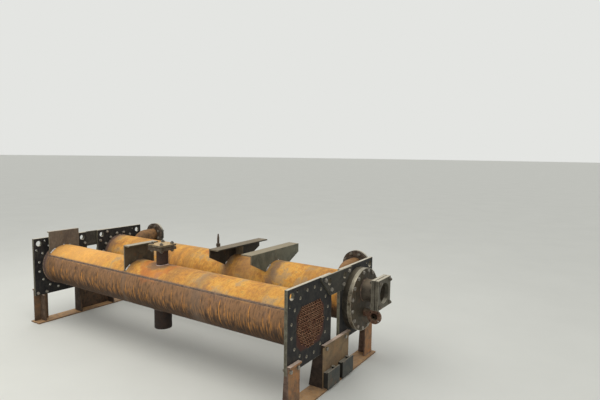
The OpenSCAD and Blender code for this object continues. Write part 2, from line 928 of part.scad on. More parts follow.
module liquid_nozzle() {
    color(steel_grey)
        placed() translate([0, axis_offset, axis_height - liquid_down])
            difference() {
                union() {
                    liquid_rod(liquid_outside / 2, 0);
                    translate([head_face + liquid_straight + liquid_bend,
                        -liquid_bend - liquid_beyond + liquid_flange, 0])
                        rotate([90, 0, 0])
                            cylinder(h = liquid_flange, r = liquid_flange_outside / 2,
                                $fn = round_facets);
                }
                liquid_rod(liquid_bore, slack);
                translate([head_face + liquid_straight + liquid_bend,
                    -liquid_bend - liquid_beyond - slack, 0])
                    rotate([-90, 0, 0])
                        for (k = [0 : 3])
                            rotate(45 + k * 90)
                                translate([liquid_bolt_place, 0, 0])
                                    cylinder(h = liquid_flange + 2 * slack, r = liquid_bolt_hole / 2,
                                        $fn = fine_facets);
            }
}

liquid_bolt_place = (liquid_flange_outside + liquid_outside) / 4;

// Moves children, drawn about the shell's axis, to the right end's water nozzle
module at_water() {
    translate([sheet_inner - water_place, axis_offset, axis_height]) children();
}

water_bend_y = water_turn_out * cos(water_angle) + water_bend * sin(water_angle);
water_bend_z = water_turn_out * sin(water_angle) - water_bend * cos(water_angle);

// Pipe of a water nozzle in three lengths with a weld's root gap between them: slanting out
// of the shell with a saddle cut, round a bend, then level
module water_pipe() {
    difference() {
        rotate([water_angle - 90, 0, 0])
            pipe(water_outside, water_wall, water_turn_out - seat);
        rod_x(shell_radius, -water_outside, water_outside, round_facets);
    }
    translate([0, water_bend_y, water_bend_z])
        rotate([90, 0, 90])
            rotate(90)
                rotate_extrude(angle = water_angle, $fn = round_facets)
                    translate([water_bend, 0])
                        difference() {
                            circle(r = water_outside / 2, $fn = round_facets);
                            circle(r = water_outside / 2 - water_wall, $fn = round_facets);
                        }
}

// Moves children, drawn upright, to a water nozzle's level axis at its flange's face
module at_water_face() {
    at_water()
        translate([0, water_face, water_bend_z + water_bend])
            rotate([-90, 0, 0]) children();
}

// Round flange below z = 0 or above it, with bolt holes off its upright line. Its raised face
// lies at z = 0
module water_disc(low, thickness) {
    plate_low = low < 0 ? low : low + face_height;
    difference() {
        union() {
            translate([0, 0, plate_low])
                cylinder(h = thickness - face_height, r = water_flange_outside / 2,
                    $fn = round_facets);
            translate([0, 0, low])
                cylinder(h = thickness, r = water_bolt_circle / 2 - bolt_hole / 2 - seat,
                    $fn = round_facets);
        }
        for (k = [0 : water_bolt_count - 1])
            rotate((k + 0.5) * 360 / water_bolt_count)
                translate([water_bolt_circle / 2, 0, low - slack])
                    cylinder(h = thickness + 2 * slack, d = bolt_hole, $fn = fine_facets);
    }
}

// Water nozzle at the right end, whose level pipe is one piece with its flange
module water_nozzle() {
    at_water() water_pipe();
    at_water_face()
        difference() {
            union() {
                translate([0, 0, seat - water_straight])
                    cylinder(h = water_straight - seat, r = water_outside / 2,
                        $fn = round_facets);
                water_disc(-water_flange, water_flange);
            }
            translate([0, 0, -water_straight])
                cylinder(h = water_straight + slack, r = water_outside / 2 - water_wall,
                    $fn = round_facets);
        }
}

module water_nozzle_right() {
    color(rust) placed() water_nozzle();
}

module water_nozzle_left() {
    color(rust) placed() at_end(-1) water_nozzle();
}

module water_cover_right() {
    color(steel_grey) placed() at_water_face() water_disc(0, water_cover);
}

module water_cover_left() {
    color(steel_grey) placed() at_end(-1) at_water_face() water_disc(0, water_cover);
}

module water_bolts_right_end() {
    at_water_face()
        for (k = [0 : water_bolt_count - 1])
            rotate((k + 0.5) * 360 / water_bolt_count)
                translate([water_bolt_circle / 2, 0, -water_flange])
                    stud(water_flange + water_cover);
}

module water_bolts() {
    color(steel_grey)
        placed() for (end = [-1, 1])
            at_end(end) water_bolts_right_end();
}

// Safety valve on a round socket, with a hexagon and a pointed spindle cap
module safety_valve() {
    neck_low = shell_top + valve_socket_height;
    nut_low = neck_low + valve_neck_height;
    body_low = nut_low + valve_nut_height;
    color(steel_grey)
        placed() translate([valve_place, axis_offset, 0])
            difference() {
                rotate_extrude($fn = fine_facets)
                    polygon([
                        [0, axis_height], [valve_socket / 2, axis_height],
                        [valve_socket / 2, neck_low], [valve_neck / 2, neck_low],
                        [valve_neck / 2, nut_low], [valve_socket * 0.42, nut_low],
                        [valve_socket * 0.42, body_low], [valve_body / 2, body_low],
                        [valve_body / 2, shell_top + valve_height * 0.75],
                        [valve_body / 4, shell_top + valve_height],
                        [0, shell_top + valve_height]
                    ]);
                translate([0, 0, axis_height])
                    rod_x(shell_radius, -valve_socket, valve_socket, round_facets);
            }
}

condenser_shell();
evaporator_shell();
condenser_tube_sheet_left();
condenser_tube_sheet_right();
evaporator_tube_sheet_left();
evaporator_tube_sheet_right();
condenser_tubes();
tie_plate_left();
tie_plate_right();
tie_bolts();
leg_left_near();
leg_left_far();
leg_right_near();
leg_right_far();
leg_left_middle();
leg_right_middle();
leg_bolts();
base_bar_left();
base_bar_right();
lug_boxes_right();
condenser_bracket_left();
condenser_bracket_middle();
evaporator_bracket_first();
evaporator_bracket_second();
gas_inlet_pipe();
gas_inlet_flange();
gas_inlet_cover();
gas_inlet_bolts();
liquid_outlet_stub();
evaporator_ring_right();
evaporator_ring_left();
evaporator_head_right();
evaporator_head_left();
head_bolts();
suction_pipe();
suction_flange_inner();
suction_flange_outer();
suction_bolts();
liquid_nozzle();
water_nozzle_left();
water_nozzle_right();
water_cover_left();
water_cover_right();
water_bolts();
safety_valve();
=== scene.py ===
import json
import math
import bpy
import bmesh
import numpy as np
from mathutils import Matrix, Vector


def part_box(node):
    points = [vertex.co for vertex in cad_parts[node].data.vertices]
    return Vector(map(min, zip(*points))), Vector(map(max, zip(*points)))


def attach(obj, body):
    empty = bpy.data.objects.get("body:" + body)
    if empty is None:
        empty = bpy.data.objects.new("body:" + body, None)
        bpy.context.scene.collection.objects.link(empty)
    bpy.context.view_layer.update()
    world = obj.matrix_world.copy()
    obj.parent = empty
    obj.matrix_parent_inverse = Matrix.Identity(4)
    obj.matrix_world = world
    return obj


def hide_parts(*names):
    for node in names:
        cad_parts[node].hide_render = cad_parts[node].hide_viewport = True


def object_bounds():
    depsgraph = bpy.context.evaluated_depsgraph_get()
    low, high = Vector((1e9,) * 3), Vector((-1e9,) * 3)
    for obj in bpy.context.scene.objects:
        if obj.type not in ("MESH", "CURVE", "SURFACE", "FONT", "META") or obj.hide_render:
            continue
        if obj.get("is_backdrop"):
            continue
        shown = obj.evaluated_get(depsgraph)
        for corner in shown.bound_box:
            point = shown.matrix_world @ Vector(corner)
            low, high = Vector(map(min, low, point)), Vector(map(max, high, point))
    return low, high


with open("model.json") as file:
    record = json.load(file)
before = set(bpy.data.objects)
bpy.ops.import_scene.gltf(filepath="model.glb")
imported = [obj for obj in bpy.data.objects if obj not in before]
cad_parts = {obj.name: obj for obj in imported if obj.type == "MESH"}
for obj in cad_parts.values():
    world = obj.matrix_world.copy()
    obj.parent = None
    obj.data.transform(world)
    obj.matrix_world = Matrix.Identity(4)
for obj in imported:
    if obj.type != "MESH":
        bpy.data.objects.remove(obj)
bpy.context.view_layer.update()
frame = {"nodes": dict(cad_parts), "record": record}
nodes = frame["nodes"]
print("frame loaded:", len(nodes), "nodes")

# Places read from the frame, in metres
nearLeft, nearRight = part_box("condenser_tube_sheet_left"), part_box("condenser_tube_sheet_right")
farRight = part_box("evaporator_tube_sheet_right")
midX = (nearLeft[0].x + nearRight[1].x) / 2      # mid-length of both shells
innerX = nearRight[0].x - midX                   # inner face of a tube sheet, from mid-length
outerX = nearRight[1].x - midX                   # its outer face
condenserY = (nearRight[0].y + nearRight[1].y) / 2
evaporatorY = (farRight[0].y + farRight[1].y) / 2
midY = (condenserY + evaporatorY) / 2
axisZ = (nearRight[0].z + nearRight[1].z) / 2
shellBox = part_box("condenser_shell")
shellR = (shellBox[1].z - shellBox[0].z) / 2
origin, alongX, alongY, alongZ = (0, 0, 0), (1, 0, 0), (0, 1, 0), (0, 0, 1)


def middleOf(name):
    low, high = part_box(name)
    return (low + high) / 2


def halfOf(name):
    low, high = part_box(name)
    return (high - low) / 2


def addObject(name, data):
    thing = bpy.data.objects.new(name, data)
    bpy.context.scene.collection.objects.link(thing)
    return thing


# The camera stands where the photograph was taken, measured from mid-length and mid-width
cameraSet = {"place": (2.9138, -2.8011, 1.541), "yaw": 33.293, "down": 5.539, "roll": 0.753,
             "focal": 484.58, "frameWidth": 600, "sensor": 36, "reach": 200}


def makeCamera(s):
    yaw, down, roll = (math.radians(s[k]) for k in ("yaw", "down", "roll"))
    ahead = Vector((-math.sin(yaw) * math.cos(down), math.cos(yaw) * math.cos(down), -math.sin(down)))
    level = Vector((math.cos(yaw), math.sin(yaw), 0))
    right = level * math.cos(roll) + level.cross(ahead) * math.sin(roll)
    up = right.cross(ahead)
    data = bpy.data.cameras.new("camera")
    data.sensor_width = s["sensor"]
    data.lens = s["focal"] / s["frameWidth"] * s["sensor"]
    data.clip_end = s["reach"]
    cam = addObject("camera", data)
    turn = Matrix((right, up, -ahead)).transposed().to_4x4()
    cam.matrix_world = Matrix.Translation(Vector(s["place"]) + Vector((midX, midY, 0))) @ turn
    bpy.context.scene.camera = cam


makeCamera(cameraSet)
print("camera placed")


# Short ways to add nodes. Colours are given as read off a screen, 0 to 255, and made linear
def srgb(r, g, b):
    return tuple(((c / 255 + 0.055) / 1.055) ** 2.4 if c > 10 else c / 3294.6 for c in (r, g, b)) + (1.0,)


def put(tree, kind, inputs, out=0, **props):
    node = tree.nodes.new(kind)
    for key, value in props.items():
        setattr(node, key, value)
    for key, value in inputs.items():
        if isinstance(value, bpy.types.NodeSocket):
            tree.links.new(value, node.inputs[key])
        else:
            node.inputs[key].default_value = value
    return node.outputs if out is None else node.outputs[out]


def calc(tree, operation, a, b=0.0, c=0.0, clamp=False):
    return put(tree, "ShaderNodeMath", {0: a, 1: b, 2: c}, operation=operation, use_clamp=clamp)


def times(tree, a, b):
    return calc(tree, "MULTIPLY", a, b)


def plus(tree, a, b):
    return calc(tree, "ADD", a, b)


def less(tree, a, b):
    return calc(tree, "SUBTRACT", a, b)


def swayed(tree, base, noise, size):       # base, moved by size times a noise about 0.5
    return calc(tree, "MULTIPLY_ADD", less(tree, noise, 0.5), size, base)


def vec(tree, operation, a, b=origin, out=0):
    return put(tree, "ShaderNodeVectorMath", {0: a, 1: b}, out, operation=operation)


def scaled(tree, vector, factor):
    return put(tree, "ShaderNodeVectorMath", {0: vector, 3: factor}, operation="SCALE")


def stretched(tree, vector, scale, shift=origin):
    return put(tree, "ShaderNodeMapping", {"Vector": vector, "Location": shift, "Scale": scale})


def parts(tree, vector):
    return put(tree, "ShaderNodeSeparateXYZ", {0: vector}, None)


def upward(tree, normal="True Normal"):    # 1 where the surface faces up
    return parts(tree, put(tree, "ShaderNodeNewGeometry", {}, normal))[2]


def step(tree, value, low, high):          # smooth step from 0 at low to 1 at high
    return put(tree, "ShaderNodeMapRange", {"Value": value, "From Min": low, "From Max": high},
               interpolation_type="SMOOTHSTEP")


def spread(tree, noise, low, high):        # the usual reach of a noise, laid from low to high
    return put(tree, "ShaderNodeMapRange", {"Value": noise, "From Min": 0.3, "From Max": 0.7,
                                            "To Min": low, "To Max": high})


def cloud(tree, vector, scale, detail=4.0, rough=0.6, warp=0.0):
    return put(tree, "ShaderNodeTexNoise", {"Vector": vector, "Scale": scale, "Detail": detail,
                                            "Roughness": rough, "Distortion": warp})


def ramp(tree, value, stops):              # colours at places from 0 to 1
    node = tree.nodes.new("ShaderNodeValToRGB")
    tree.links.new(value, node.inputs[0])
    bar = node.color_ramp.elements
    while len(bar) < len(stops):
        bar.new(0.5)
    for element, (place, tone) in zip(bar, stops):
        element.position = place
        element.color = srgb(*tone)
    return node.outputs[0]


def layer(tree, amount, under, over):
    return put(tree, "ShaderNodeMix", {0: amount, 6: under, 7: over}, 2, data_type="RGBA")


def coat(tree, under, tone, mask, amount):     # a plain colour over another, by a share of a mask
    return layer(tree, times(tree, mask, amount), under, srgb(*tone))


def coats(tree, under, masks, rows):       # each row is (mask, from, to, amount, colour)
    for mask, low, high, amount, tone in rows:
        under = coat(tree, under, tone, step(tree, masks[mask], low, high), amount)
    return under


# A group with its outputs' names in one string, and inputs that are numbers, places (three
# numbers) or colours (four)
def newGroup(name, outs, outKind="Float", **ins):
    tree = bpy.data.node_groups.new(name, "ShaderNodeTree")
    for label, value in ins.items():
        kind = "Float" if isinstance(value, float) else {3: "Vector", 4: "Color"}[len(value)]
        socket = tree.interface.new_socket(name=label, in_out="INPUT", socket_type="NodeSocket" + kind)
        socket.default_value = value
    for label in outs.split():
        tree.interface.new_socket(name=label, in_out="OUTPUT", socket_type="NodeSocket" + outKind)
    return tree, tree.nodes.new("NodeGroupInput").outputs, tree.nodes.new("NodeGroupOutput").inputs


def give(tree, outs, *values):             # joins values to a group's outputs in their order
    for value, socket in zip(values, outs):
        tree.links.new(value, socket)
    return tree


def use(tree, group, **inputs):            # places a group in a material, returns its outputs
    return put(tree, "ShaderNodeGroup", inputs, None, node_tree=group)


# Group: place on a shell, as length along it and angle in degrees from its top towards -Y
def makeShellPlace():
    tree, ins, outs = newGroup("shellPlace", "Along Angle", Vector=origin, AxisY=0.0, AxisZ=0.0)
    x, y, z = parts(tree, ins["Vector"])
    turn = calc(tree, "ARCTAN2", less(tree, ins["AxisY"], y), less(tree, z, ins["AxisZ"]))
    return give(tree, outs, x, calc(tree, "DEGREES", turn))


# Group: rust as blotches of a hand's breadth, mottling of a finger's and grain of a pinhead's
def makeRustField():
    tree, ins, outs = newGroup("rustField", "Patches Mottle Grain", Vector=origin, Size=1.0)
    sized = scaled(tree, ins["Vector"], ins["Size"])
    shifted = stretched(tree, sized, (1, 1, 1), (3.1, 1.7, 0.4))
    return give(tree, outs, cloud(tree, sized, 5.0, 5.0, 0.62, 0.6),
                cloud(tree, shifted, 26.0, 6.0, 0.66, 0.3), cloud(tree, sized, 230.0, 3.0, 0.7))


# Group: run marks by place across the runs and place down them: broad and fine stripes that never
# lean, and a slower break-up of their length
markSet = {"broad": 24.0, "fine": 105.0, "brokenAcross": 75.0, "brokenDown": 19.0}


def makeRunMarks(s):
    tree, ins, outs = newGroup("runMarks", "Broad Fine Broken", Across=0.0, Down=0.0)
    stripes = {"W": ins["Across"], "Detail": 2.0, "Roughness": 0.6}
    broad, fine = (put(tree, "ShaderNodeTexNoise", dict(stripes, Scale=s[k]), noise_dimensions="1D")
                   for k in ("broad", "fine"))
    place = put(tree, "ShaderNodeCombineXYZ", {0: times(tree, ins["Across"], s["brokenAcross"]),
                                               1: times(tree, ins["Down"], s["brokenDown"])})
    return give(tree, outs, broad, fine, cloud(tree, place, 1.0, 3.0, 0.55))


# A ragged width: the noise times gain plus base, times the width, and never quite nothing
def raggedWidth(tree, width, noise, gain, base):
    uneven = times(tree, width, calc(tree, "MULTIPLY_ADD", noise, gain, base))
    return calc(tree, "MAXIMUM", uneven, 0.0002)


# Group: a plate's worn edges, from the second smallest distance to the faces of its box, and its
# cut sides, where the normal leaves the axis of its thickness
def makeCutEdge():
    tree, ins, outs = newGroup("cutEdge", "Worn Side Up", Vector=origin, Middle=origin, Half=(1, 1, 1),
                               Axis=alongX, Width=0.004)
    away = vec(tree, "ABSOLUTE", vec(tree, "SUBTRACT", ins["Vector"], ins["Middle"]))
    x, y, z = parts(tree, vec(tree, "SUBTRACT", ins["Half"], away))
    pairs = [calc(tree, "MAXIMUM", a, b) for a, b in ((x, y), (y, z), (x, z))]
    second = calc(tree, "MINIMUM", calc(tree, "MINIMUM", pairs[0], pairs[1]), pairs[2])
    reach = raggedWidth(tree, ins["Width"], cloud(tree, ins["Vector"], 70.0, 4.0, 0.7), 2.4, -0.6)
    worn = calc(tree, "SUBTRACT", 1.0, calc(tree, "DIVIDE", second, reach), clamp=True)
    normal = put(tree, "ShaderNodeNewGeometry", {}, "True Normal")
    facing = calc(tree, "ABSOLUTE", vec(tree, "DOT_PRODUCT", normal, ins["Axis"], "Value"))
    return give(tree, outs, worn, step(tree, facing, 0.75, 0.45), step(tree, upward(tree), 0.6, 0.9))


# Group: worn rims of a round part, where its radius less the distance from its axis, and half its
# length less the place along the axis, are both small. Its side is where the first is nothing
def makeDiscEdge():
    tree, ins, outs = newGroup("discEdge", "Worn Side Up", Vector=origin, Middle=origin, Axis=alongX,
                               Radius=0.1, Half=0.02, Width=0.004)
    away = vec(tree, "SUBTRACT", ins["Vector"], ins["Middle"])
    along = vec(tree, "DOT_PRODUCT", away, ins["Axis"], "Value")
    fromAxis = vec(tree, "DISTANCE", away, scaled(tree, ins["Axis"], along), "Value")
    rimGap = calc(tree, "ABSOLUTE", less(tree, ins["Radius"], fromAxis))
    endGap = less(tree, ins["Half"], calc(tree, "ABSOLUTE", along))
    reach = raggedWidth(tree, ins["Width"], cloud(tree, ins["Vector"], 9.0, 5.0, 0.7), 5.0, -1.8)
    share = calc(tree, "DIVIDE", calc(tree, "MAXIMUM", rimGap, endGap), reach)
    return give(tree, outs, step(tree, share, 1.0, 0.6), step(tree, rimGap, 0.002, 0.001),
                step(tree, upward(tree), 0.3, 0.9))


# Group: distance to the nearest of Count holes on a circle about an X axis, the first of them half
# a step from Y
def makeHoleRing():
    tree, ins, outs = newGroup("holeRing", "Distance", Vector=origin, Centre=origin, Circle=0.2, Count=16.0)
    y, z = parts(tree, vec(tree, "SUBTRACT", ins["Vector"], ins["Centre"]))[1:3]
    share = calc(tree, "DIVIDE", 2 * math.pi, ins["Count"])
    turn = calc(tree, "DIVIDE", calc(tree, "ARCTAN2", z, y), share)
    near = times(tree, plus(tree, calc(tree, "FLOOR", turn), 0.5), share)
    offY = less(tree, y, times(tree, ins["Circle"], calc(tree, "COSINE", near)))
    offZ = less(tree, z, times(tree, ins["Circle"], calc(tree, "SINE", near)))
    squared = calc(tree, "MULTIPLY_ADD", offY, offY, times(tree, offZ, offZ))
    return give(tree, outs, calc(tree, "SQRT", squared))


# Group: mill scale, as flakes, a slow change of tint and long rolling marks
def makeMillScale():
    tree, ins, outs = newGroup("millScale", "Tint Flakes Scratches", Vector=origin)
    spot = ins["Vector"]
    cells = put(tree, "ShaderNodeTexVoronoi", {"Vector": spot, "Scale": 38.0})
    flaky = step(tree, cloud(tree, spot, 16.0, 5.0, 0.7), 0.45, 0.62)
    scratch = cloud(tree, stretched(tree, spot, (40, 220, 9), (1, 5, 2)), 1.0, 2.0, 0.6)
    return give(tree, outs, cloud(tree, spot, 7.0, 5.0, 0.6, 1.2),
                times(tree, step(tree, cells, 0.25, 0.7), flaky), step(tree, scratch, 0.60, 0.72))


# Group: heat tint beside a weld, dark up to the width, then straw, then nothing
def makeHeatTint():
    tree, ins, outs = newGroup("heatTint", "Dark Straw", Vector=origin, Distance=1.0, Width=0.02)
    wobble = calc(tree, "MULTIPLY_ADD", cloud(tree, ins["Vector"], 22.0, 4.0, 0.6), 1.1, 0.45)
    share = calc(tree, "DIVIDE", ins["Distance"], times(tree, ins["Width"], wobble))
    band = times(tree, step(tree, share, 0.9, 1.3), step(tree, share, 2.1, 1.5))
    return give(tree, outs, step(tree, share, 1.25, 0.75), band)


# Group: dust and loose rust settled on what faces up
def makeSettledDust():
    tree, ins, outs = newGroup("settledDust", "Colour", "Color", Vector=origin, Colour=(0.2, 0.2, 0.2, 1),
                               Dust=(0.4, 0.35, 0.3, 1), Amount=0.5)
    spots = step(tree, cloud(tree, ins["Vector"], 34.0, 6.0, 0.7), 0.32, 0.62)
    amount = times(tree, times(tree, step(tree, upward(tree, "Normal"), 0.25, 0.95), spots), ins["Amount"])
    return give(tree, outs, layer(tree, amount, ins["Colour"], ins["Dust"]))


shellPlace, rustField, runMarks = makeShellPlace(), makeRustField(), makeRunMarks(markSet)
cutEdge, discEdge, holeRing = makeCutEdge(), makeDiscEdge(), makeHoleRing()
millScale, heatTint, settledDust = makeMillScale(), makeHeatTint(), makeSettledDust()
print("shared effects made")


def newMaterial(name):
    material = bpy.data.materials.new(name)
    material.use_nodes = True
    tree = material.node_tree
    tree.nodes.clear()
    return material, tree, put(tree, "ShaderNodeTexCoord", {}, "Object")


# Joins colour, roughness and height to the shader; metallic and gloss may be plain numbers
def finishMaterial(tree, colour, rough, height, depth, metal=0.0, gloss=0.5):
    bump = put(tree, "ShaderNodeBump", {"Strength": 1.0, "Distance": depth, "Height": height})
    shader = put(tree, "ShaderNodeBsdfPrincipled",
                 {"Base Color": colour, "Roughness": rough, "Metallic": metal, "Specular IOR Level": gloss,
                  "Normal": bump})
    put(tree, "ShaderNodeOutputMaterial", {"Surface": shader}, None)


def dusted(tree, spot, colour, s):
    return use(tree, settledDust, Vector=spot, Colour=colour, Dust=srgb(*s["dust"]), Amount=s["dusty"])[0]


def dress(material, *names):
    for name in names:
        for holder in nodes[name].material_slots:
            holder.material = material


# Lays straw and then dark heat tint; tones are those two, each as (colour, share)
def heated(tree, under, spot, distance, width, tones):
    dark, straw = use(tree, heatTint, Vector=spot, Distance=distance, Width=width)
    for mask, (tone, share) in zip((straw, dark), tones):
        under = coat(tree, under, tone, mask, share)
    return under


# The two shells: orange above the seam, run-marked brown below it, dark underneath, partly as dark rust
# and partly as painted shade. Angles are in degrees from the top, and a sway is how far noise moves one.
# Lengths are in metres from mid-length. Bands are greyed belts and fresh ones brighter belts, as (place,
# half width, amount); spots are burnt patches on the top line, as (place, radius)
shellLook = {
    "seamHalf": 3.0, "seamShow": 0.7, "seamTone": (124, 102, 88), "seamSway": 26.0, "edgeSway": 44.0,
    "runStart": 16.0, "runSpread": 130.0, "runFade": 22.0, "runSway": 20.0,
    "high": [(0.30, (118, 88, 58)), (0.40, (172, 120, 62)), (0.48, (204, 144, 64)), (0.56, (222, 168, 78)),
             (0.70, (182, 154, 112))],
    "highCoats": [("girth", 0.46, 0.66, 0.5, (150, 112, 68)), ("broken", 0.53, 0.70, 0.3, (226, 176, 98)),
                  ("broken", 0.45, 0.32, 0.3, (132, 96, 62)), ("patches", 0.53, 0.63, 0.6, (164, 138, 106)),
                  ("mottle", 0.58, 0.68, 0.4, (118, 92, 72))],
    "low": [(0.34, (100, 74, 54)), (0.44, (130, 97, 66)), (0.54, (144, 108, 76)), (0.66, (118, 94, 80))],
    "lowCoats": [("broken", 0.50, 0.36, 0.6, (86, 64, 47)), ("broken", 0.54, 0.66, 0.4, (168, 120, 74))],
    "gapTone": (66, 49, 35), "gapShow": 0.8, "dripTone": (206, 140, 62), "dripShow": 0.85,
    "freshTone": (240, 180, 98), "bandTone": (116, 100, 86), "underShadeFrom": 88, "underShadeTo": 124,
    "underShadeTone": (48, 36, 27), "underShadeShow": 0.85, "sheetHeat": 0.03,
    "sheetTones": [((142, 112, 86), 0.5), ((96, 82, 84), 0.75)],
    "spotTones": [((190, 112, 56), 0.6), ((112, 90, 80), 0.75)],
    "pitTone": (78, 56, 40), "pitShow": 0.4, "relief": 0.0009, "gloss": 0.3}
condenserLook = dict(
    shellLook, flip=1.0, seam=56.0, farEdge=62.0, spots=[(0.022, 0.10)],
    bands=[(0.545, 0.075, 0.5), (-1.30, 0.05, 0.35), (-0.235, 0.03, 0.4)], fresh=[(-0.95, 0.42, 0.55)])
evaporatorLook = dict(
    shellLook, flip=-1.0, seam=60.0, farEdge=90.0, spots=[(0.015, 0.05)], fresh=[],
    bands=[(0.222, 0.035, 0.5), (0.70, 0.05, 0.75), (0.42, 0.15, 0.4), (-1.29, 0.07, 0.55)])


def shellMaterial(name, axisY, s):
    material, tree, spot = newMaterial(name)
    along, angle = use(tree, shellPlace, Vector=spot, AxisY=axisY, AxisZ=axisZ)
    angle = times(tree, angle, s["flip"])
    patches, mottle, grain = use(tree, rustField, Vector=spot)
    arc = times(tree, angle, shellR * math.pi / 180)
    broad, fine, broken = use(tree, runMarks, Across=along, Down=arc)
    girth = cloud(tree, stretched(tree, spot, (9, 0.4, 0.4)), 1.0, 3.0, 0.6)
    masks = {"patches": patches, "mottle": mottle, "broken": broken, "girth": girth}

    def lengthFrom(place):
        return calc(tree, "ABSOLUTE", less(tree, along, midX + place))

    def belt(under, tone, row, noise, size):   # fades out at one and a half times its half width
        centre, half, amount = row
        offset = swayed(tree, lengthFrom(centre), noise, size)
        return coat(tree, under, tone, step(tree, offset, half * 1.5, 0.0), amount)

    # Above the seam, then below it with runs that start lower or higher along the shell
    tone = plus(tree, times(tree, patches, 0.6), times(tree, mottle, 0.4))
    high = coats(tree, ramp(tree, tone, s["high"]), masks, s["highCoats"])
    for row in s["fresh"]:
        high = belt(high, s["freshTone"], row, patches, 1.2)
    low = coats(tree, ramp(tree, tone, s["low"]), masks, s["lowCoats"])
    side = calc(tree, "ABSOLUTE", swayed(tree, angle, mottle, s["runSway"]))
    onset = calc(tree, "MULTIPLY_ADD", broad, s["runSpread"], s["runStart"])
    reached = step(tree, less(tree, side, onset), 0.0, s["runFade"])
    fine = swayed(tree, swayed(tree, fine, grain, 0.16), mottle, 0.3)
    gaps = times(tree, step(tree, fine, 0.52, 0.40), step(tree, broken, 0.62, 0.46))
    drips = times(tree, step(tree, fine, 0.46, 0.58), step(tree, broken, 0.40, 0.54))
    low = coat(tree, low, s["gapTone"], times(tree, gaps, reached), s["gapShow"])
    low = coat(tree, low, s["dripTone"], times(tree, drips, reached), s["dripShow"])

    # Both joined at the seam and at a ragged edge on the far side
    tilt = swayed(tree, angle, mottle, s["seamSway"])
    ragged = swayed(tree, tilt, broad, s["edgeSway"])
    below = calc(tree, "MAXIMUM", step(tree, tilt, s["seam"] - 2, s["seam"] + 5),
                 step(tree, ragged, -s["farEdge"], -s["farEdge"] - 16))
    colour = layer(tree, below, high, low)
    # Darker towards the underside, partly dark rust and partly painted shade
    under = step(tree, calc(tree, "ABSOLUTE", ragged), s["underShadeFrom"], s["underShadeTo"])
    colour = coat(tree, colour, s["underShadeTone"], under, s["underShadeShow"])
    for row in s["bands"]:
        colour = belt(colour, s["bandTone"], row, mottle, 0.10)
    for place in (-innerX, innerX):
        colour = heated(tree, colour, spot, lengthFrom(place), s["sheetHeat"], s["sheetTones"])
    for centre, radius in s["spots"]:
        away = vec(tree, "DISTANCE", spot, (midX + centre, axisY, axisZ + shellR), "Value")
        colour = heated(tree, colour, spot, away, radius, s["spotTones"])
    fromSeam = calc(tree, "ABSOLUTE", less(tree, angle, s["seam"]))
    seam = step(tree, calc(tree, "MULTIPLY_ADD", mottle, 6.0, fromSeam), s["seamHalf"] * 3.4, s["seamHalf"])
    colour = coat(tree, colour, s["seamTone"], seam, s["seamShow"])
    colour = coat(tree, colour, s["pitTone"], step(tree, grain, 0.5, 0.72), s["pitShow"])
    height = plus(tree, times(tree, grain, 0.4), mottle)
    finishMaterial(tree, colour, spread(tree, mottle, 0.66, 0.9), height, s["relief"], gloss=s["gloss"])
    return material


dress(shellMaterial("condenserRust", condenserY, condenserLook), "condenser_shell")
dress(shellMaterial("evaporatorRust", evaporatorY, evaporatorLook), "evaporator_shell")
print("shells dressed")


# Smaller rusted parts: pipes, stubs and base bars, in four tones from dark to pale; side is the share of
# painted shade, in the darkest tone, on faces that don't face up. Where scaled names a cover, the pipe's
# end at that cover has mill scale in place of rust, from back metres before it
pipeLook = {"size": 1.6, "tones": [(62, 49, 38), (104, 80, 54), (138, 102, 64), (160, 128, 90)],
            "pits": (70, 52, 42), "dust": (148, 108, 68), "dusty": 0.5, "side": 0.0, "relief": 0.0008,
            "gloss": 0.32, "scaled": "", "back": 0.025, "scaleDark": (40, 38, 36), "scalePale": (72, 67, 60)}
darkPipeLook = dict(
    pipeLook, tones=[(30, 23, 20), (50, 36, 29), (76, 53, 39), (102, 76, 58)], dust=(96, 70, 50), dusty=0.3)
# The outlet stub under the condenser, darkened as painted shade
shadedStubLook = dict(darkPipeLook, tones=[(20, 16, 14), (32, 24, 20), (48, 35, 27), (66, 49, 38)])
# Base bars; side darkens their sides as painted shade
barLook = dict(
    pipeLook, size=1.2, tones=[(92, 71, 54), (150, 117, 83), (188, 145, 94), (192, 166, 134)],
    dust=(174, 144, 112), dusty=0.6, side=0.7)


def rustMaterial(name, s):
    material, tree, spot = newMaterial(name)
    patches, mottle, grain = use(tree, rustField, Vector=spot, Size=s["size"])
    x, y, z = parts(tree, spot)
    broken = use(tree, runMarks, Across=plus(tree, x, y), Down=z)["Broken"]
    tone = plus(tree, times(tree, patches, 0.5), times(tree, mottle, 0.5))
    colour = ramp(tree, tone, list(zip((0.32, 0.46, 0.56, 0.68), s["tones"])))
    colour = coat(tree, colour, s["tones"][2], step(tree, broken, 0.52, 0.66), 0.3)
    colour = coat(tree, colour, s["pits"], step(tree, grain, 0.5, 0.7), 0.35)
    colour = dusted(tree, spot, colour, s)
    # Painted shade: faces that don't face up take the darkest tone, by side
    colour = coat(tree, colour, s["tones"][0], step(tree, upward(tree), 0.6, 0.3), s["side"])
    if s["scaled"]:
        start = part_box(s["scaled"])[0].y - s["back"]
        scale = layer(tree, step(tree, mottle, 0.4, 0.6), srgb(*s["scaleDark"]), srgb(*s["scalePale"]))
        beyond = step(tree, y, start - 0.001, start + 0.001)
        colour = layer(tree, times(tree, beyond, 0.85), colour, scale)
    height = plus(tree, times(tree, grain, 0.4), mottle)
    finishMaterial(tree, colour, spread(tree, mottle, 0.6, 0.9), height, s["relief"], gloss=s["gloss"])
    return material


for end in ("left", "right"):
    look = dict(pipeLook, scaled="water_cover_" + end)
    dress(rustMaterial("rustedPipe_" + end, look), "water_nozzle_" + end)
dress(rustMaterial("darkPipe", darkPipeLook), "gas_inlet_pipe")
dress(rustMaterial("shadedStub", shadedStubLook), "liquid_outlet_stub")
dress(rustMaterial("rustedBar", barLook), "base_bar_left", "base_bar_right")


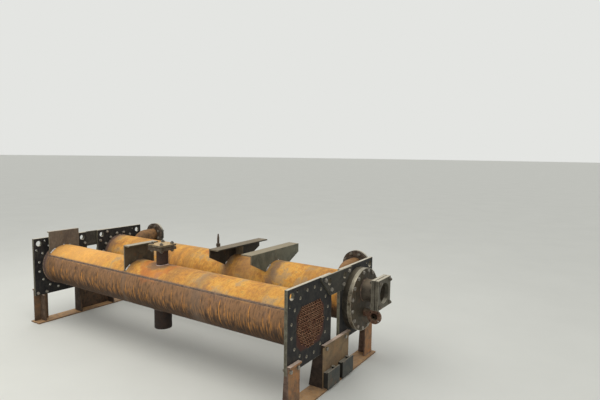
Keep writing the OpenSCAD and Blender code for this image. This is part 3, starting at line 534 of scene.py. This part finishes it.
# Worn edges, cut sides and upward sides of a node, by its box or as a disc about an axis
def edgesOf(tree, spot, node, s):
    half = halfOf(node)
    inputs = dict(Vector=spot, Middle=middleOf(node), Axis=s["axis"], Width=s["wear"])
    if not s["disc"]:
        return use(tree, cutEdge, Half=half, **inputs)
    deep = sum(abs(a) * h for a, h in zip(s["axis"], half))
    radius = max(half) if deep < max(half) else sorted(half)[1]
    return use(tree, discEdge, Half=deep, Radius=radius, **inputs)


# Plates: a face mottled with rust and scale, then cut sides with a painted highlight on those that face
# up, bright rims round the bolt holes, partly bare metal and partly painted highlight, rust about the tube
# field, worn edges, and dust on what faces up
def plateMaterial(name, node, s):
    material, tree, spot = newMaterial(name)
    patches, mottle, grain = use(tree, rustField, Vector=spot)
    tint, flakes, scratches = use(tree, millScale, Vector=spot)
    x, y, z = parts(tree, spot)
    broken = use(tree, runMarks, Across=plus(tree, x, y), Down=z)["Broken"]
    edge = edgesOf(tree, spot, node, s)
    rusted = step(tree, times(tree, plus(tree, patches, mottle), 0.5), s["rustFrom"], s["rustFrom"] + 0.14)
    colour = layer(tree, step(tree, tint, 0.36, 0.64), srgb(*s["face"]), srgb(*s["tint"]))
    colour = coat(tree, colour, s["flake"], flakes, s["flaked"])
    colour = coat(tree, colour, s["rust"], rusted, s["rusty"])
    colour = coat(tree, colour, s["streak"], step(tree, broken, 0.53, 0.66), s["streaked"])
    colour = coat(tree, colour, s["cut"], scratches, 0.25)
    sides = layer(tree, step(tree, mottle, 0.4, 0.62), srgb(*s["side"]), srgb(*s["cut"]))
    # Cut sides; those that face up take a pale painted highlight
    colour = layer(tree, edge["Side"], colour, coat(tree, sides, s["top"], edge["Up"], 0.85))
    if s["circle"]:
        hole = use(tree, holeRing, Vector=spot, Centre=middleOf(node), Circle=s["circle"], Count=s["count"])
        uneven = calc(tree, "MULTIPLY_ADD", mottle, 0.002, hole[0])
        rim = step(tree, uneven, s["hole"] + s["rimOuter"], s["hole"] + s["rimInner"])
        # Bright rim round each bolt hole, partly bare metal and partly painted highlight, more of it where
        # the walls face up
        colour = coat(tree, colour, s["rimBareAndHighlight"], rim, calc(tree, "MULTIPLY_ADD", edge["Up"], 0.55, 0.35))
    if s["field"]:
        away = vec(tree, "ABSOLUTE", vec(tree, "SUBTRACT", spot, middleOf(s["field"])))
        offY, offZ = parts(tree, vec(tree, "SUBTRACT", away, halfOf(s["field"])))[1:3]
        corner = plus(tree, plus(tree, offY, offZ), s["fieldCorner"])
        outside = calc(tree, "MAXIMUM", calc(tree, "MAXIMUM", offY, offZ), corner)
        colour = coat(tree, colour, s["fieldRust"], step(tree, outside, 0.006, -0.01), 0.8)
    colour = coat(tree, colour, s["bare"], edge["Worn"], s["bright"])
    colour = dusted(tree, spot, colour, s)
    colour = coat(tree, colour, s["pits"], step(tree, grain, 0.52, 0.72), 0.3)
    turned = times(tree, edge["Side"], s["polish"])
    rough = less(tree, spread(tree, tint, s["smooth"], s["smooth"] + 0.22), times(tree, turned, 0.3))
    height = plus(tree, times(tree, grain, 0.3), plus(tree, times(tree, flakes, 0.5), mottle))
    metal = calc(tree, "MAXIMUM", times(tree, edge["Worn"], 0.5), turned)
    finishMaterial(tree, colour, rough, height, s["relief"], metal, s["gloss"])
    return material


# Looks of the plates, all from the tube sheets' black mill scale. The axis is that of the
# thickness, disc is for round parts, and lengths are in metres
boltRing = next(m["dims"] for m in frame["record"]["mounts"] if m["name"] == "water_box_bolts_right")
# The top colour of each look is a painted highlight on up-facing cut sides
sheetLook = {
    "axis": alongX, "disc": False, "face": (29, 29, 31), "tint": (41, 40, 39), "flake": (66, 64, 57),
    "flaked": 0.4, "rust": (78, 58, 44), "rusty": 0.5, "rustFrom": 0.56, "streak": (66, 61, 54),
    "streaked": 0.3, "side": (80, 75, 63), "cut": (108, 106, 90), "top": (222, 214, 194), "wear": 0.003,
    "bright": 0.75, "bare": (150, 146, 130), "polish": 0.0, "circle": 0.0, "count": boltRing["count"],
    "hole": boltRing["hole_r_mm"] / 1000, "rimOuter": 0.0034, "rimInner": 0.0018, "rimBareAndHighlight": (206, 198, 178),
    "field": "", "fieldRust": (72, 40, 29), "fieldCorner": 0.05, "dust": (96, 86, 70), "dusty": 0.3,
    "pits": (36, 31, 28), "smooth": 0.52, "relief": 0.0005, "gloss": 0.2}
drilledLook = dict(sheetLook, rusty=0.4, circle=boltRing["pcd_mm"] / 2000, field="condenser_tubes")
ringLook = dict(
    sheetLook, disc=True, bright=0.3, polish=0.4, side=(54, 51, 44), cut=(76, 70, 60), top=(112, 104, 88),
    bare=(120, 113, 98))
lugLook = dict(
    sheetLook, face=(60, 63, 62), tint=(82, 82, 74), flake=(98, 96, 86), side=(46, 46, 44),
    cut=(62, 60, 55), top=(168, 163, 148), rust=(112, 86, 66), rusty=0.6, rustFrom=0.52)
tieLook = dict(
    sheetLook, face=(50, 49, 46), tint=(66, 64, 57), flake=(96, 91, 80), side=(70, 67, 58),
    cut=(92, 88, 76), top=(190, 180, 158))
middleBracket = dict(
    sheetLook, face=(62, 57, 47), tint=(84, 74, 58), flake=(100, 92, 74), rust=(104, 76, 50), rustFrom=0.53,
    side=(112, 104, 86), cut=(132, 122, 102), top=(178, 172, 154), bare=(160, 152, 130),
    dust=(140, 122, 96), dusty=0.45)
leftBracket = dict(
    middleBracket, face=(88, 78, 70), tint=(104, 94, 82), flake=(118, 108, 94), top=(206, 200, 188))
# A copy of the middle bracket darkened as painted shade, for the first bracket's web in shadow
shadedFirstBracket = dict(
    middleBracket, face=(40, 37, 31), tint=(56, 50, 42), flake=(72, 66, 54), top=(108, 100, 84),
    bare=(140, 134, 116))
secondBracket = dict(
    middleBracket, face=(84, 86, 74), tint=(108, 108, 92), flake=(122, 120, 104), rust=(124, 100, 72),
    rusty=0.35, top=(150, 142, 120))
legLook = dict(
    sheetLook, face=(106, 84, 66), tint=(138, 106, 76), flake=(140, 112, 86), flaked=0.3,
    rust=(166, 112, 68), rusty=0.65, rustFrom=0.49, streak=(176, 126, 80), streaked=0.4, side=(84, 68, 58),
    cut=(110, 90, 78), top=(222, 202, 186), bare=(186, 160, 140), dust=(186, 158, 132), dusty=0.45,
    smooth=0.62)
# The middle leg; its dark cut sides are painted shade under the sheet
middleLegLook = dict(
    legLook, face=(102, 87, 67), tint=(130, 110, 82), rust=(142, 108, 76), rusty=0.5, streak=(140, 114, 84),
    side=(42, 34, 28), cut=(62, 50, 41), bare=(140, 122, 100))
# The left legs: copies of the leg look darkened as painted shade
shadedLegLook = dict(
    legLook, face=(76, 62, 50), tint=(106, 84, 64), flake=(122, 100, 78), rust=(140, 100, 66), rusty=0.5,
    streak=(124, 96, 68), side=(82, 68, 57), cut=(108, 90, 74), bare=(140, 118, 96))
# The left middle leg, darker still as painted shade
shadedMiddleLegLook = dict(
    shadedLegLook, face=(56, 46, 38), tint=(80, 65, 52), flake=(98, 82, 64), rust=(112, 82, 58),
    side=(50, 41, 34), cut=(68, 56, 46))
headLook = dict(
    sheetLook, disc=True, face=(58, 52, 42), tint=(76, 68, 54), flake=(92, 84, 68), rust=(104, 78, 56),
    rustFrom=0.52, side=(112, 104, 88), cut=(168, 160, 142), top=(190, 182, 162), wear=0.005, bright=0.55,
    bare=(206, 198, 178), polish=0.75)
flangeLook = dict(
    sheetLook, face=(78, 74, 64), tint=(98, 93, 80), flake=(112, 106, 92), rust=(112, 84, 60),
    rustFrom=0.53, side=(84, 80, 70), cut=(106, 101, 88), top=(212, 206, 186), bare=(196, 190, 170),
    dust=(140, 124, 100), dusty=0.4)
coverLook = dict(
    flangeLook, axis=alongY, disc=True, face=(44, 43, 41), tint=(62, 59, 54), side=(58, 56, 51),
    cut=(84, 81, 72), bare=(176, 170, 154))
inletLook = dict(
    flangeLook, axis=alongZ, face=(92, 78, 62), tint=(116, 98, 74), rust=(136, 88, 54), rusty=0.8,
    side=(66, 56, 46), cut=(88, 76, 62), top=(120, 104, 82), bare=(130, 120, 100))
inletCoverLook = dict(
    inletLook, face=(166, 142, 106), tint=(192, 166, 120), flake=(204, 184, 144), rust=(150, 104, 66),
    rusty=0.45, side=(84, 74, 60), cut=(112, 100, 80), dust=(180, 156, 116))
suctionLook = dict(
    flangeLook, disc=True, face=(60, 54, 46), tint=(78, 70, 60), side=(72, 65, 56), cut=(92, 84, 72),
    top=(126, 114, 96))
liquidLook = dict(
    suctionLook, disc=False, face=(88, 60, 46), tint=(112, 80, 62), side=(92, 66, 52), cut=(122, 96, 78))
valveLook = dict(suctionLook, axis=alongZ)
plateLooks = [(sheetLook, "evaporator_tube_sheet_left", "evaporator_tube_sheet_right"),
              (drilledLook, "condenser_tube_sheet_left", "condenser_tube_sheet_right"),
              (ringLook, "evaporator_ring_left", "evaporator_ring_right"), (lugLook, "lug_boxes_right"),
              (tieLook, "tie_plate_left", "tie_plate_right"), (middleBracket, "condenser_bracket_middle"),
              (leftBracket, "condenser_bracket_left"), (shadedFirstBracket, "evaporator_bracket_first"),
              (secondBracket, "evaporator_bracket_second"), (legLook, "leg_right_near", "leg_right_far"),
              (middleLegLook, "leg_right_middle"), (shadedLegLook, "leg_left_near", "leg_left_far"),
              (shadedMiddleLegLook, "leg_left_middle"), (suctionLook, "suction_pipe"),
              (headLook, "evaporator_head_left", "evaporator_head_right"),
              (flangeLook, "suction_flange_inner", "suction_flange_outer"), (inletLook, "gas_inlet_flange"),
              (inletCoverLook, "gas_inlet_cover"), (coverLook, "water_cover_left", "water_cover_right"),
              (liquidLook, "liquid_nozzle"), (valveLook, "safety_valve")]
for look, *names in plateLooks:
    for name in names:
        dress(plateMaterial("plate_" + name, name, look), name)
print("plates dressed")


# Tube ends: bright rolled rims round bores painted dark as shade, rust-red outside
tubeSet = {"bore": (36, 23, 19), "rough": 0.6, "relief": 0.0003, "gloss": 0.3,
           "rims": [(0.34, (138, 90, 64)), (0.44, (188, 132, 95)), (0.62, (218, 169, 129))]}


def tubeMaterial(s):
    material, tree, spot = newMaterial("rolledTubeEnds")
    field = use(tree, rustField, Vector=spot)
    normal = put(tree, "ShaderNodeNewGeometry", {}, "True Normal")
    rim = step(tree, calc(tree, "ABSOLUTE", parts(tree, normal)[0]), 0.6, 0.9)
    # Painted shade: the bore walls dark, the rims by the ramp
    colour = layer(tree, rim, srgb(*s["bore"]), ramp(tree, field["Mottle"], s["rims"]))
    finishMaterial(tree, colour, s["rough"], field["Grain"], s["relief"], gloss=s["gloss"])
    return material


dress(tubeMaterial(tubeSet), "condenser_tubes")
print("tube ends dressed")


# Weld metal: dull, ground bright, fresh, and overgrown along the shells' seams. Each is its dark,
# middle and pale colour, then its roughness and the share of it that shines as metal
weldLooks = {"dullWeld": ((66, 56, 52), (106, 88, 76), (150, 124, 100), 0.6, 0.3),
             "brightWeld": ((130, 126, 122), (186, 184, 180), (232, 230, 226), 0.42, 0.35),
             "freshWeld": ((100, 82, 76), (154, 130, 120), (200, 174, 158), 0.5, 0.3),
             "seamWeld": ((72, 58, 49), (102, 83, 68), (132, 106, 84), 0.7, 0.0)}
tonePlaces = (0.36, 0.5, 0.64)             # where three tones lie on a noise


def weldMaterial(name, *tones, rough, shine):
    material, tree, spot = newMaterial(name)
    field = use(tree, rustField, Vector=spot, Size=2.0)
    colour = ramp(tree, field["Mottle"], list(zip(tonePlaces, tones)))
    metal = times(tree, step(tree, field["Mottle"], 0.4, 0.6), shine)
    finishMaterial(tree, colour, rough, field["Grain"], 0.0003, metal)
    return material


welds = {name: weldMaterial(name, *tones, rough=rough, shine=shine)
         for name, (*tones, rough, shine) in weldLooks.items()}

# A bead of weld as a grid of points: at distance s along the path and angle p round the bead, the
# point is path + (w cos p) side + (h sin p) up, swollen by 1 + ripple sin(2 pi s / pitch -
# curl (1 - sin p)), and drawn in to a point over one width at each open end
beadSet = {"pitch": 0.0065, "perRipple": 4, "round": 10, "ripple": 0.13, "curl": 1.6}


def anglesOf(count):                       # that many angles round a circle
    return np.arange(count) * 2 * np.pi / count


def bead(path, up, width, height=None, closed=False):
    p, height = beadSet, height or width
    if closed:
        path, up = (np.vstack((a, a[:1])) for a in (path, up))
    gaps = np.linalg.norm(np.diff(path, axis=0), axis=1)
    total, at = gaps.sum(), np.concatenate(([0], np.cumsum(gaps)))
    ripples = max(2, round(total / p["pitch"]))
    s = np.linspace(0, total, ripples * p["perRipple"] + (0 if closed else 1), endpoint=not closed)
    line, rise = (np.stack([np.interp(s, at, a[:, k]) for k in range(3)], 1) for a in (path, up))
    rise /= np.linalg.norm(rise, axis=1, keepdims=True)
    ahead = np.roll(line, -1, 0) - np.roll(line, 1, 0) if closed else np.gradient(line, axis=0)
    side = np.cross(ahead, rise)
    side /= np.linalg.norm(side, axis=1, keepdims=True)
    phi = anglesOf(p["round"])
    wave = 2 * np.pi * ripples * s[:, None] / total - p["curl"] * (1 - np.sin(phi))[None, :]
    swell = 1 + p["ripple"] * np.sin(wave)
    if not closed:
        inset = np.clip(np.minimum(s, total - s) / width, 0, 1)
        swell = swell * np.sqrt(1 - (1 - inset) ** 2)[:, None]
    out = (width * np.cos(phi) * swell)[..., None] * side[:, None]
    return line[:, None] + out + (height * np.sin(phi) * swell)[..., None] * rise[:, None], closed


# Joins tubes into one piece, each given as (N rings of M points, whether its ends meet)
def tubesPiece(name, tubes, material):
    points, faces, base = [], [], 0
    for grid, closed in tubes:
        n, m = grid.shape[:2]
        i = np.arange(n if closed else n - 1)[:, None]
        j = np.arange(m)[None, :]
        a, b = i * m + j, i * m + (j + 1) % m
        c, d = ((i + 1) % n) * m + (j + 1) % m, ((i + 1) % n) * m + j
        faces.append(np.stack((a, b, c, d), -1).reshape(-1, 4) + base)
        points.append(grid.reshape(-1, 3))
        base += n * m
    mesh = bpy.data.meshes.new(name)
    mesh.from_pydata(np.vstack(points).tolist(), [], np.vstack(faces).tolist())
    work = bmesh.new()
    work.from_mesh(mesh)
    bmesh.ops.remove_doubles(work, verts=work.verts, dist=1e-7)    # closes the points of open ends
    bmesh.ops.recalc_face_normals(work, faces=work.faces)
    work.to_mesh(mesh)
    work.free()
    mesh.polygons.foreach_set("use_smooth", np.ones(len(mesh.polygons), bool))
    mesh.materials.append(material)
    piece = addObject(name, mesh)
    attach(piece, "root")
    return piece


# Bolts and studs, zinc with brown where oil has caught dust; the pale ones are newer
boltSet = {"flats": 0.024, "size": 0.016, "head": 0.010, "nut": 0.013, "beyond": 0.006, "pitch": 0.002,
           "depth": 0.0012, "washer": 0.95, "chamfer": 0.0015, "chamferRings": 6, "point": 0.0012,
           "round": 24, "perPitch": 6, "dull": [(66, 61, 54), (96, 90, 80), (138, 132, 118)],
           "pale": [(90, 85, 77), (126, 120, 109), (170, 164, 152)], "brown": (104, 80, 60), "sharp": 32}


def boltMaterial(name, tones):
    material, tree, spot = newMaterial(name)
    patches, mottle, grain = use(tree, rustField, Vector=spot, Size=3.0)
    colour = ramp(tree, mottle, list(zip(tonePlaces, tones)))
    colour = coat(tree, colour, boltSet["brown"], step(tree, patches, 0.5, 0.66), 0.4)
    metal = times(tree, step(tree, mottle, 0.5, 0.6), 0.4)
    finishMaterial(tree, colour, 0.5, grain, 0.0003, metal, 0.35)
    return material


# Rings of a hexagon: (flats / 2) / cos of the angle from the middle of a flat, cut at a chamfered
# face by a cone of 30 degrees that starts at the washer circle
def hexagonRings(low, high, lowCut, highCut):
    p = boltSet
    flatHalf = p["flats"] / 2
    turn = anglesOf(p["round"])
    hexagon = flatHalf / np.cos(turn % (np.pi / 3) - np.pi / 6)
    deep = np.linspace(0, p["chamfer"], p["chamferRings"])
    cone = np.minimum(hexagon, p["washer"] * flatHalf + deep[:, None] * math.sqrt(3))
    start = [(low + d, ring) for d, ring in zip(deep, cone)] if lowCut else [(low, hexagon)]
    finish = [(high - d, ring) for d, ring in zip(deep[::-1], cone[::-1])] if highCut else [(high, hexagon)]
    return start + finish


# Rings of a threaded end from its tip: R less depth times a triangle wave of place / pitch - turn
def threadRings(length):
    p = boltSet
    turn = np.arange(p["round"]) / p["round"]
    place = np.linspace(0, length, round(length / p["pitch"] * p["perPitch"]) + 1)
    wave = np.abs(2 * ((place[:, None] / p["pitch"] - turn) % 1) - 1)
    radius = np.minimum(p["size"] / 2 - p["depth"] * wave, p["size"] / 2 - p["point"] + place[:, None])
    return [(0, np.zeros(p["round"]))] + list(zip(place, radius))


# A bolt as rings: start + place ahead + radius (cos turn corner + sin turn side). From its tip it
# is thread, nut and shank, then a head, or the same the other way round on a stud
def boltGrid(start, ahead, length, corner, double):
    p = boltSet
    shank = np.full(p["round"], p["size"] / 2)
    nutEnd = p["beyond"] + p["nut"]
    tail = threadRings(p["beyond"]) + hexagonRings(p["beyond"], nutEnd, True, True) + [(nutEnd, shank)]
    if double:
        front = [(length - place, radius) for place, radius in reversed(tail)]
    else:
        headAt = length - p["head"]
        front = [(headAt, shank)] + hexagonRings(headAt, length, False, True) + [(length, shank * 0)]
    place, radius = (np.array(v) for v in zip(*(tail + front)))
    side = np.cross(ahead, corner)
    turn = anglesOf(p["round"])
    spokes = np.cos(turn)[:, None] * corner + np.sin(turn)[:, None] * side
    return start + place[:, None, None] * ahead + radius[..., None] * spokes


# The loose solids of a node, each as an array of its corners
def solidsOf(node):
    work = bmesh.new()
    work.from_mesh(nodes[node].data)
    bmesh.ops.remove_doubles(work, verts=work.verts, dist=1e-6)
    todo, found = set(work.verts), []
    while todo:
        stack, island = [todo.pop()], []
        while stack:
            corner = stack.pop()
            island.append(tuple(corner.co))
            fresh = {e.other_vert(corner) for e in corner.link_edges} & todo
            todo -= fresh
            stack += fresh
        found.append(np.array(island))
    work.free()
    return sorted(found, key=lambda a: tuple(np.round(a.mean(0), 4)))


# Draws every bolt of a node again in its own place, its corners where the solid's are. Along X the
# heads are on the outer side of the unit
def boltPiece(node, axis, double, material):
    tubes = []
    for solid in solidsOf(node):
        low, high = solid.min(0), solid.max(0)
        middle, length = (low + high) / 2, (high - low)[axis]
        away = solid - middle
        away[:, axis] = 0
        out = np.linalg.norm(away, axis=1)
        corner = away[np.argmax(out)] / out.max()
        ahead = np.zeros(3)
        ahead[axis] = 1.0 if axis or middle[0] > midX else -1.0
        tubes.append((boltGrid(middle - ahead * length / 2, ahead, length, corner, double), False))
    piece = tubesPiece(node + "_threaded", tubes, material)
    piece.data.set_sharp_from_angle(angle=math.radians(boltSet["sharp"]))
    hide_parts(node)


zinc = {tone: boltMaterial(tone + "Bolts", boltSet[tone]) for tone in ("dull", "pale")}
for node, axis, double, tone in (("tie_bolts", 0, False, "pale"), ("leg_bolts", 0, False, "pale"),
                                 ("head_bolts", 0, False, "pale"), ("gas_inlet_bolts", 2, True, "dull"),
                                 ("suction_bolts", 0, True, "dull"), ("water_bolts", 1, True, "dull")):
    boltPiece(node, axis, double, zinc[tone])
print("bolts made")

# Half widths of the beads, and how far the seams stop short of the sheets. Ground are the bright
# beads, plate is the thickness of a leg's plate, and side the beads' inset from its edges
weldSet = {"sheet": 0.007, "saddle": 0.005, "pipe": 0.0045, "bracket": 0.0045, "ground": 0.0065,
           "stand": 0.0045, "seam": 0.0065, "seamHeight": 0.0016, "seamInset": 0.012, "plate": 0.012,
           "side": 0.004}
turns = anglesOf(180)


# Ring about an axis of X, Y or Z through centre; up leans outwards and along the axis by lean
def ringPath(centre, radius, axis, lean):
    a, b = (k for k in range(3) if k != axis)
    out = np.zeros((len(turns), 3))
    out[:, a], out[:, b] = np.cos(turns), np.sin(turns)
    along = np.zeros(3)
    along[axis] = lean
    return np.asarray(centre, float) + radius * out, out + along


# Where a pipe of the given radius leaves the shell in the direction away: the axis point plus
# a cos t along X, a sin t across, and sqrt(R^2 - a^2 sin^2 t) away; up halves the corner
def saddlePath(x, axisY, radius, away):
    across, endwise = np.cross(away, alongX), np.array(alongX, float)
    cosine, sine = np.cos(turns)[:, None], np.sin(turns)[:, None]
    radial = radius * sine * across + np.sqrt(shellR ** 2 - (radius * sine) ** 2) * np.array(away)
    path = np.array((x, axisY, axisZ)) + radius * cosine * endwise + radial
    return path, cosine * endwise + sine * across + radial / shellR


# Arc on a shell at one x, from angle to angle in degrees from its top towards +Y
def arcPath(x, axisY, fromAngle, toAngle, lean):
    t = np.radians(np.linspace(fromAngle, toAngle, 60))
    out = np.stack((np.zeros_like(t), np.sin(t), np.cos(t)), 1)
    return np.array((x, axisY, axisZ)) + shellR * out, out + np.array((lean, 0, 0))


# Straight line from a to b, with up the same all along
def straightPath(a, b, up):
    return np.array((a, b), float), np.array((up, up), float)


sheetRings = [ringPath((midX + end * innerX, axisY, axisZ), shellR, 0, -end)
              for axisY in (condenserY, evaporatorY) for end in (-1, 1)]
tubesPiece("sheet_ring_welds", [bead(*path, weldSet["sheet"], closed=True) for path in sheetRings],
           welds["dullWeld"])

seams, seamEnd = [], innerX - weldSet["seamInset"]
for axisY, look in ((condenserY, condenserLook), (evaporatorY, evaporatorLook)):
    angle = math.radians(look["seam"] * look["flip"])
    out = np.array((0, -math.sin(angle), math.cos(angle)))
    left, right = (np.array((midX + x, axisY, axisZ)) + shellR * out for x in (-seamEnd, seamEnd))
    seams.append(bead(*straightPath(left, right, out), weldSet["seam"], weldSet["seamHeight"]))
tubesPiece("shell_seams", seams, welds["seamWeld"])

inlet, stub, valve, suction = (middleOf(n) for n in ("gas_inlet_pipe", "liquid_outlet_stub", "safety_valve",
                                                     "suction_pipe"))
inletR, suctionR = halfOf("gas_inlet_pipe").x, halfOf("suction_pipe").y
inletSaddle = bead(*saddlePath(inlet.x, condenserY, inletR, (0, 0, 1)), weldSet["saddle"], closed=True)
tubesPiece("gas_inlet_weld", [inletSaddle], welds["freshWeld"])
headFace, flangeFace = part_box("evaporator_head_right")[1].x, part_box("suction_flange_inner")[0].x
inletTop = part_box("gas_inlet_flange")[0].z
pipePaths = [(saddlePath(stub.x, condenserY, halfOf("liquid_outlet_stub").x, (0, 0, -1)), "saddle"),
             (saddlePath(valve.x, evaporatorY, halfOf("safety_valve").x, (0, 0, 1)), "pipe"),
             (ringPath((inlet.x, condenserY, inletTop), inletR, 2, -1), "pipe"),
             (ringPath((headFace, suction.y, suction.z), suctionR, 0, 1), "saddle"),
             (ringPath((flangeFace, suction.y, suction.z), suctionR, 0, -1), "pipe")]
tubesPiece("pipe_welds", [bead(*path, weldSet[size], closed=True) for path, size in pipePaths],
           welds["dullWeld"])
print("shell welds made")


# Stitches of weld at a bracket's foot, in degrees of arc, on both faces of its web, whose
# thickness is in metres. Each bracket gives its shell's axis, half its foot's width, whether the
# web is at its high end in X, and ground beads on the web's +X face, as angles in degrees from the
# shell's top towards -Y. Stitches keep spare degrees off them
bracketSet = {"stitch": 11.0, "gap": 9.0, "spare": 2, "web": 0.010}
brackets = {"condenser_bracket_left": (condenserY, halfOf("condenser_bracket_left").y, True,
                                       [(49, 29), (4, 0.5), (-15, -18)]),
            "condenser_bracket_middle": (condenserY, halfOf("condenser_bracket_middle").y, False, [(50, 31)]),
            "evaporator_bracket_first": (evaporatorY, 0.135, False, [(50, 41)]),
            "evaporator_bracket_second": (evaporatorY, 0.135, True, [(49.5, 27), (-6, -9)])}


def bracketWelds(node, axisY, footHalf, webHigh, ground):
    p = bracketSet
    low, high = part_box(node)
    front = high.x if webHigh else low.x + p["web"]
    reach = math.degrees(math.asin(footHalf / shellR))
    stitches = []
    for x, lean in ((front - p["web"], -1), (front, 1)):
        for start in np.arange(1 - reach, reach - p["stitch"], p["stitch"] + p["gap"]):
            stop = start + p["stitch"]
            if lean < 0 or not any(b - p["spare"] < -start and -stop < a + p["spare"] for a, b in ground):
                stitches.append(bead(*arcPath(x, axisY, start, stop, lean), weldSet["bracket"]))
    return stitches, [bead(*arcPath(front, axisY, -a, -b, 1), weldSet["ground"]) for a, b in ground]


dull, bright = [], []
for node, settings in brackets.items():
    stitches, groundBeads = bracketWelds(node, *settings)
    dull += stitches
    bright += groundBeads
for end, sign in (("left", -1), ("right", 1)):
    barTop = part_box("base_bar_" + end)[1].z
    faceX = midX + sign * (outerX + weldSet["plate"])
    for part in ("near", "far", "middle"):
        low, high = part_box("leg_" + end + "_" + part)
        ends = ((faceX, low.y + weldSet["side"], barTop), (faceX, high.y - weldSet["side"], barTop))
        dull.append(bead(*straightPath(*ends, (sign, 0, 1)), weldSet["stand"]))
tubesPiece("bracket_and_stand_welds", dull, welds["dullWeld"])
tubesPiece("bright_welds", bright, welds["brightWeld"])
print("bracket and stand welds made")


# Floor, light and background, in metres and watts
studioSet = {"radius": 150.0, "below": 0.0006, "corners": 128, "floor": (214, 215, 208), "darker": 10,
             "back": (228, 229, 226), "skyLight": 0.78,
             "key": {"spot": (-0.8, -1.2, 4.0), "aim": (-0.4, 0, 0.4), "size": (4.5, 2.6), "power": 85,
                     "tint": (1.0, 0.98, 0.95)},
             "fill": {"spot": (4.5, -2.6, 1.8), "aim": (0.8, 0, 0.4), "size": (2.5, 2.0), "power": 12,
                      "tint": (0.96, 0.98, 1.0)}}


def makeFloor(s):
    mesh = bpy.data.meshes.new("floor")
    turn = anglesOf(s["corners"])
    rim = np.stack((s["radius"] * np.cos(turn), s["radius"] * np.sin(turn), 0 * turn - s["below"]), 1)
    mesh.from_pydata(rim.tolist(), [], [list(range(s["corners"]))])
    floor = addObject("floor", mesh)
    material, tree, spot = newMaterial("paleFloor")
    darker = srgb(*(c - s["darker"] for c in s["floor"]))
    colour = layer(tree, cloud(tree, spot, 1.4, 6.0, 0.6), srgb(*s["floor"]), darker)
    finishMaterial(tree, colour, 0.7, cloud(tree, spot, 60.0), 0.0004, gloss=0.3)
    mesh.materials.append(material)
    floor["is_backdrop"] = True


def areaLight(name, s):
    data = bpy.data.lights.new(name, "AREA")
    data.shape, data.energy, data.color = "RECTANGLE", s["power"], s["tint"]
    data.size, data.size_y = s["size"]
    lamp = addObject(name, data)
    lamp.location = s["spot"]
    lamp.rotation_euler = (Vector(s["aim"]) - Vector(s["spot"])).to_track_quat("-Z", "Y").to_euler()


def makeWorld(s):
    world = bpy.data.worlds.new("studio")
    bpy.context.scene.world = world
    world.use_nodes = True
    tree = world.node_tree
    tree.nodes.clear()
    path = put(tree, "ShaderNodeLightPath", {}, None)
    seen = calc(tree, "MAXIMUM", path["Is Camera Ray"],
                calc(tree, "MAXIMUM", path["Is Glossy Ray"], path["Is Transmission Ray"]))
    back = put(tree, "ShaderNodeBackground", {"Color": srgb(*s["back"]), "Strength": 1.0})
    light = put(tree, "ShaderNodeBackground", {"Color": (1, 1, 1, 1), "Strength": s["skyLight"]})
    mix = put(tree, "ShaderNodeMixShader", {0: seen, 1: light, 2: back})
    put(tree, "ShaderNodeOutputWorld", {"Surface": mix}, None)


makeFloor(studioSet)
makeWorld(studioSet)
areaLight("key", studioSet["key"])
areaLight("fill", studioSet["fill"])
bpy.context.scene.view_settings.view_transform = "Standard"
print("studio made")

low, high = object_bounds()
